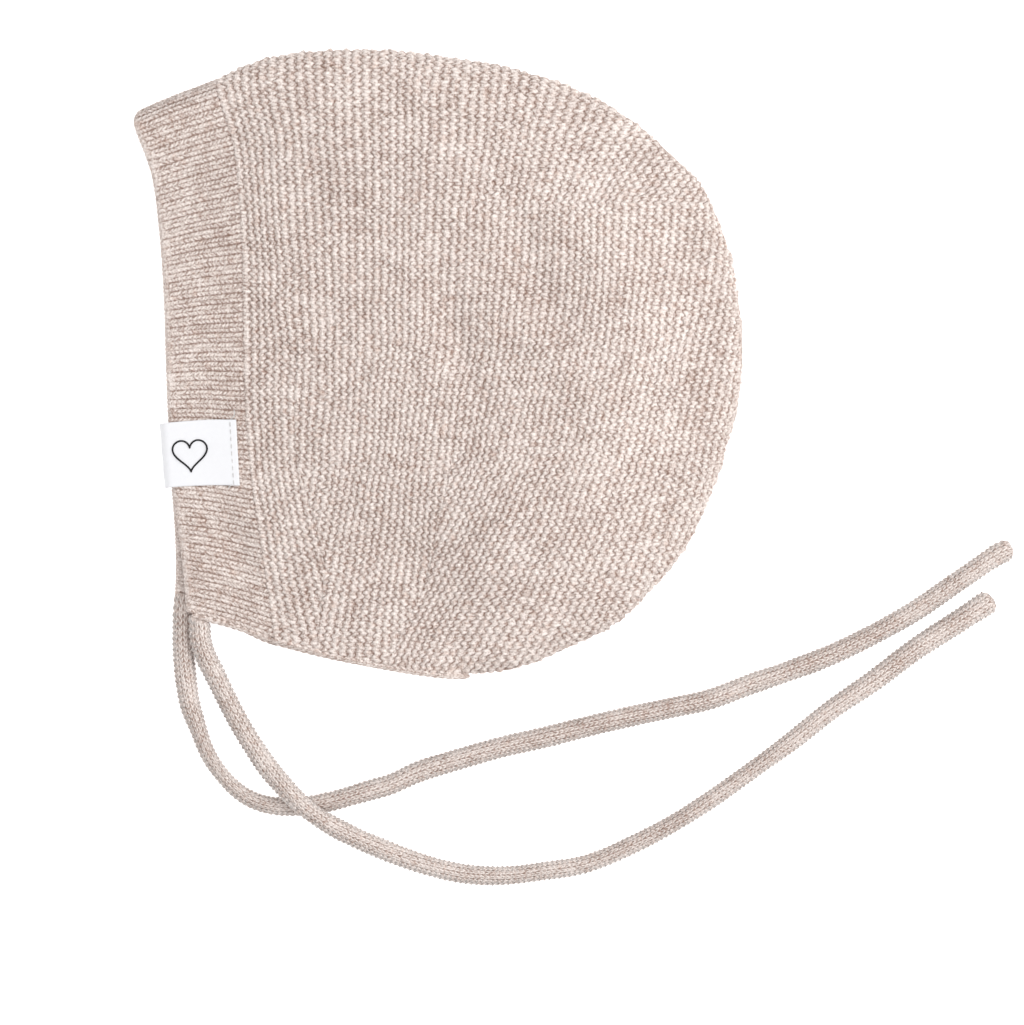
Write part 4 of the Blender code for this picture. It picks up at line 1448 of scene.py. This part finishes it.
def tape_cloth(trim):
    """Fine white woven tape."""
    shader = Shader("label_weave")
    u, v = shader.stitches()
    place = shader.place()
    threads = 3.6
    warp = shader.math("SINE", v * (FULL_TURN * threads))
    weft = shader.math("SINE", u * (FULL_TURN * threads))
    weave = warp * weft * 0.5 + 0.5
    soft = shader.noise(place, 900.0, 2.0, 0.5)
    # The hollows of the weave are painted darker, as shade, over the tape's own soft tone.
    shade = weave * 0.35 + soft * 0.5 + 0.2
    colour = shader.mix(shade, whole(trim.tape, 0.90), whole(trim.tape))
    return shader.finish(colour, 0.75, shader.bump(0.35, 0.00006, weave))


def thread_cloth(name, colour):
    """Twisted sewing thread."""
    shader = Shader(name)
    u, v = shader.stitches()
    twist = shader.sine(u + v * 1.8) * 0.5 + 0.5
    # The grooves of the twist are painted darker, as shade.
    shaded = shader.mix(twist, whole(colour, 0.72), whole(colour))
    return shader.finish(shaded, 0.7, shader.bump(0.6, 0.0001, twist))


def floor_film(stage):
    """Matt floor film with hardly any grain, lit from below as on a light table."""
    shader = Shader("floor_film")
    grain = shader.noise(shader.place(), 180.0, 2.0, 0.5)
    colour = shader.mix(grain, whole(stage.floor, 0.985), whole(stage.floor))
    return shader.finish(colour, 0.9, None, glow=stage.glow)


# Operators, one for each group of pieces.

class BONNET_OT_stage(bpy.types.Operator):
    """Lays the floor and sets the lights and the camera"""
    bl_idname = "bonnet.stage"
    bl_label = "Set the Stage"

    def execute(self, context):
        stage = context.scene.bonnet_stage
        half, steps = 1.6, 9
        line = np.linspace(-half, half, steps)
        x, y = np.meshgrid(line + VIEW_CENTRE[0], line + VIEW_CENTRE[1], indexing="ij")
        places = np.stack((x.ravel(), y.ravel(), np.full(steps * steps, -FILM_DROP)), -1)
        floor = make_piece("floor", places, grid_faces(steps, steps), floor_film(stage))
        add_area_light("overhead_light", stage.overhead, size=1.8, place=(0.10, 0.05, 1.6))
        add_area_light("side_light", stage.side, size=1.0, place=(1.05, 0.10, 0.95))
        world = bpy.data.worlds.new("bonnet_sky")
        world.use_nodes = True
        background = world.node_tree.nodes["Background"]
        background.inputs["Color"].default_value = (1.0, 1.0, 1.0, 1.0)
        background.inputs["Strength"].default_value = stage.sky
        context.scene.world = world
        context.scene.view_settings.view_transform = "Standard"
        context.scene.view_settings.look = "None"
        data = bpy.data.cameras.new("camera")
        data.sensor_fit = "HORIZONTAL"
        data.lens = data.sensor_width * stage.camera_height / VIEW_WIDTH
        data.clip_end = 20.0
        camera = bpy.data.objects.new("camera", data)
        camera.location = (*VIEW_CENTRE, stage.camera_height)
        context.collection.objects.link(camera)
        context.scene.camera = camera
        return {"FINISHED"}


def add_area_light(name, power, size, place):
    data = bpy.data.lights.new(name, "AREA")
    data.energy = power
    data.size = size
    light = bpy.data.objects.new(name, data)
    light.location = place
    light.rotation_euler = (Vector((*VIEW_CENTRE, 0.0)) - Vector(place)).to_track_quat("-Z", "Y").to_euler()
    bpy.context.collection.objects.link(light)


class BONNET_OT_ties(bpy.types.Operator):
    """Knits the two ties along their routes"""
    bl_idname = "bonnet.ties"
    bl_label = "Knit the Ties"

    def execute(self, context):
        knit = context.scene.bonnet_knit
        yarn = rib_yarn("tie_yarn", knit, TIE_VALLEY, TIE_STROKE, TIE_PAINTED_SHADING, around=knit.tie_wales,
                        mottle=TIE_MOTTLE)
        near = ("tie_near", NEAR_TIE, NEAR_ROOT, NEAR_WIDTHS, 11)
        far = ("tie_far", FAR_TIE, FAR_ROOT, FAR_WIDTHS, 12)
        for node, route, root, widths, seed in (near, far):
            tie, path, length = knit_tie(f"{node}_knit", route, root, widths, knit, seed, yarn)
            finish_piece(tie, [node])
        return {"FINISHED"}


class BONNET_OT_crown(bpy.types.Operator):
    """Knits both layers of the crown in garter stitch"""
    bl_idname = "bonnet.crown"
    bl_label = "Knit the Crown"

    def execute(self, context):
        knit = context.scene.bonnet_knit
        yarn = garter_yarn("garter_yarn", knit)
        finish_piece(knit_crown_half("crown_near_garter", 1, knit, yarn), ["crown"])
        finish_piece(knit_crown_half("crown_far_garter", -1, knit, yarn), [])
        return {"FINISHED"}


class BONNET_OT_band(bpy.types.Operator):
    """Knits the rib band round the face"""
    bl_idname = "bonnet.band"
    bl_label = "Knit the Band"

    def execute(self, context):
        knit = context.scene.bonnet_knit
        yarn = rib_yarn("rib_yarn", knit, RIB_VALLEY, RIB_STROKE, RIB_PAINTED_SHADING, folded_from(knit))
        finish_piece(knit_band(knit, yarn), ["front_band"])
        return {"FINISHED"}


class BONNET_OT_edging(bpy.types.Operator):
    """Works the chain edging along the neck"""
    bl_idname = "bonnet.edging"
    bl_label = "Work the Edging"

    def execute(self, context):
        knit = context.scene.bonnet_knit
        yarn = rib_yarn("edging_yarn", knit, EDGING_VALLEY, EDGING_STROKE, EDGING_PAINTED_SHADING)
        finish_piece(work_edging(knit, yarn), ["neck_edging"])
        return {"FINISHED"}


class BONNET_OT_fuzz(bpy.types.Operator):
    """Grows the loose fibres on the knitted pieces"""
    bl_idname = "bonnet.fuzz"
    bl_label = "Grow the Fuzz"

    def execute(self, context):
        knit = context.scene.bonnet_knit
        hairy = ("crown_near_garter", "front_band_rib", "neck_edging_chain", "tie_near_knit", "tie_far_knit")
        pieces = [context.scene.objects[name] for name in hairy]
        finish_piece(grow_fuzz(pieces, knit.fuzz, fuzz_yarn(knit)), [])
        return {"FINISHED"}


class BONNET_OT_label(bpy.types.Operator):
    """Sews on the folded label with its threads and heart"""
    bl_idname = "bonnet.label"
    bl_label = "Sew On the Label"

    def execute(self, context):
        trim = context.scene.bonnet_trim
        thread = thread_cloth("sewing_thread", trim.thread)
        tape = finish_piece(sew_label(tape_cloth(trim)), ["label"])
        stitches = thread_piece("label_stitches", sewing_line(), SEWING_RADIUS, thread)
        ends = thread_piece("label_thread_ends", loose_ends(), CUT_END_RADIUS, thread)
        motif = thread_cloth("motif_thread", trim.motif)
        heart = thread_piece("label_heart", [heart_path()], HEART_RADIUS, motif, closed=True)
        for piece in (stitches, ends, heart):
            finish_piece(piece, [])
        return {"FINISHED"}


class BONNET_PT_panel(bpy.types.Panel):
    """Lists the bonnet's operators with their sizes and colours"""
    bl_idname = "BONNET_PT_panel"
    bl_label = "Knitted Bonnet"
    bl_space_type = "VIEW_3D"
    bl_region_type = "UI"
    bl_category = "Bonnet"

    def draw(self, context):
        for operator in OPERATORS:
            self.layout.operator(operator.bl_idname)
        for group in (context.scene.bonnet_knit, context.scene.bonnet_trim, context.scene.bonnet_stage):
            box = self.layout.box()
            for name in type(group).__annotations__:
                box.prop(group, name)


OPERATORS = (BONNET_OT_stage, BONNET_OT_ties, BONNET_OT_crown, BONNET_OT_band, BONNET_OT_edging,
             BONNET_OT_fuzz, BONNET_OT_label)
GROUPS = {"bonnet_knit": BonnetKnit, "bonnet_trim": BonnetTrim, "bonnet_stage": BonnetStage}


def register():
    for kind in (*GROUPS.values(), *OPERATORS, BONNET_PT_panel):
        bpy.utils.register_class(kind)
    for name, group in GROUPS.items():
        setattr(bpy.types.Scene, name, bpy.props.PointerProperty(type=group))


def unregister():
    for name in GROUPS:
        delattr(bpy.types.Scene, name)
    for kind in reversed((*GROUPS.values(), *OPERATORS, BONNET_PT_panel)):
        bpy.utils.unregister_class(kind)


def main():
    register()
    bpy.ops.bonnet.stage()
    bpy.ops.bonnet.ties()
    bpy.ops.bonnet.crown()
    bpy.ops.bonnet.band()
    bpy.ops.bonnet.edging()
    bpy.ops.bonnet.fuzz()
    bpy.ops.bonnet.label()


if __name__ == "__main__":
    main()
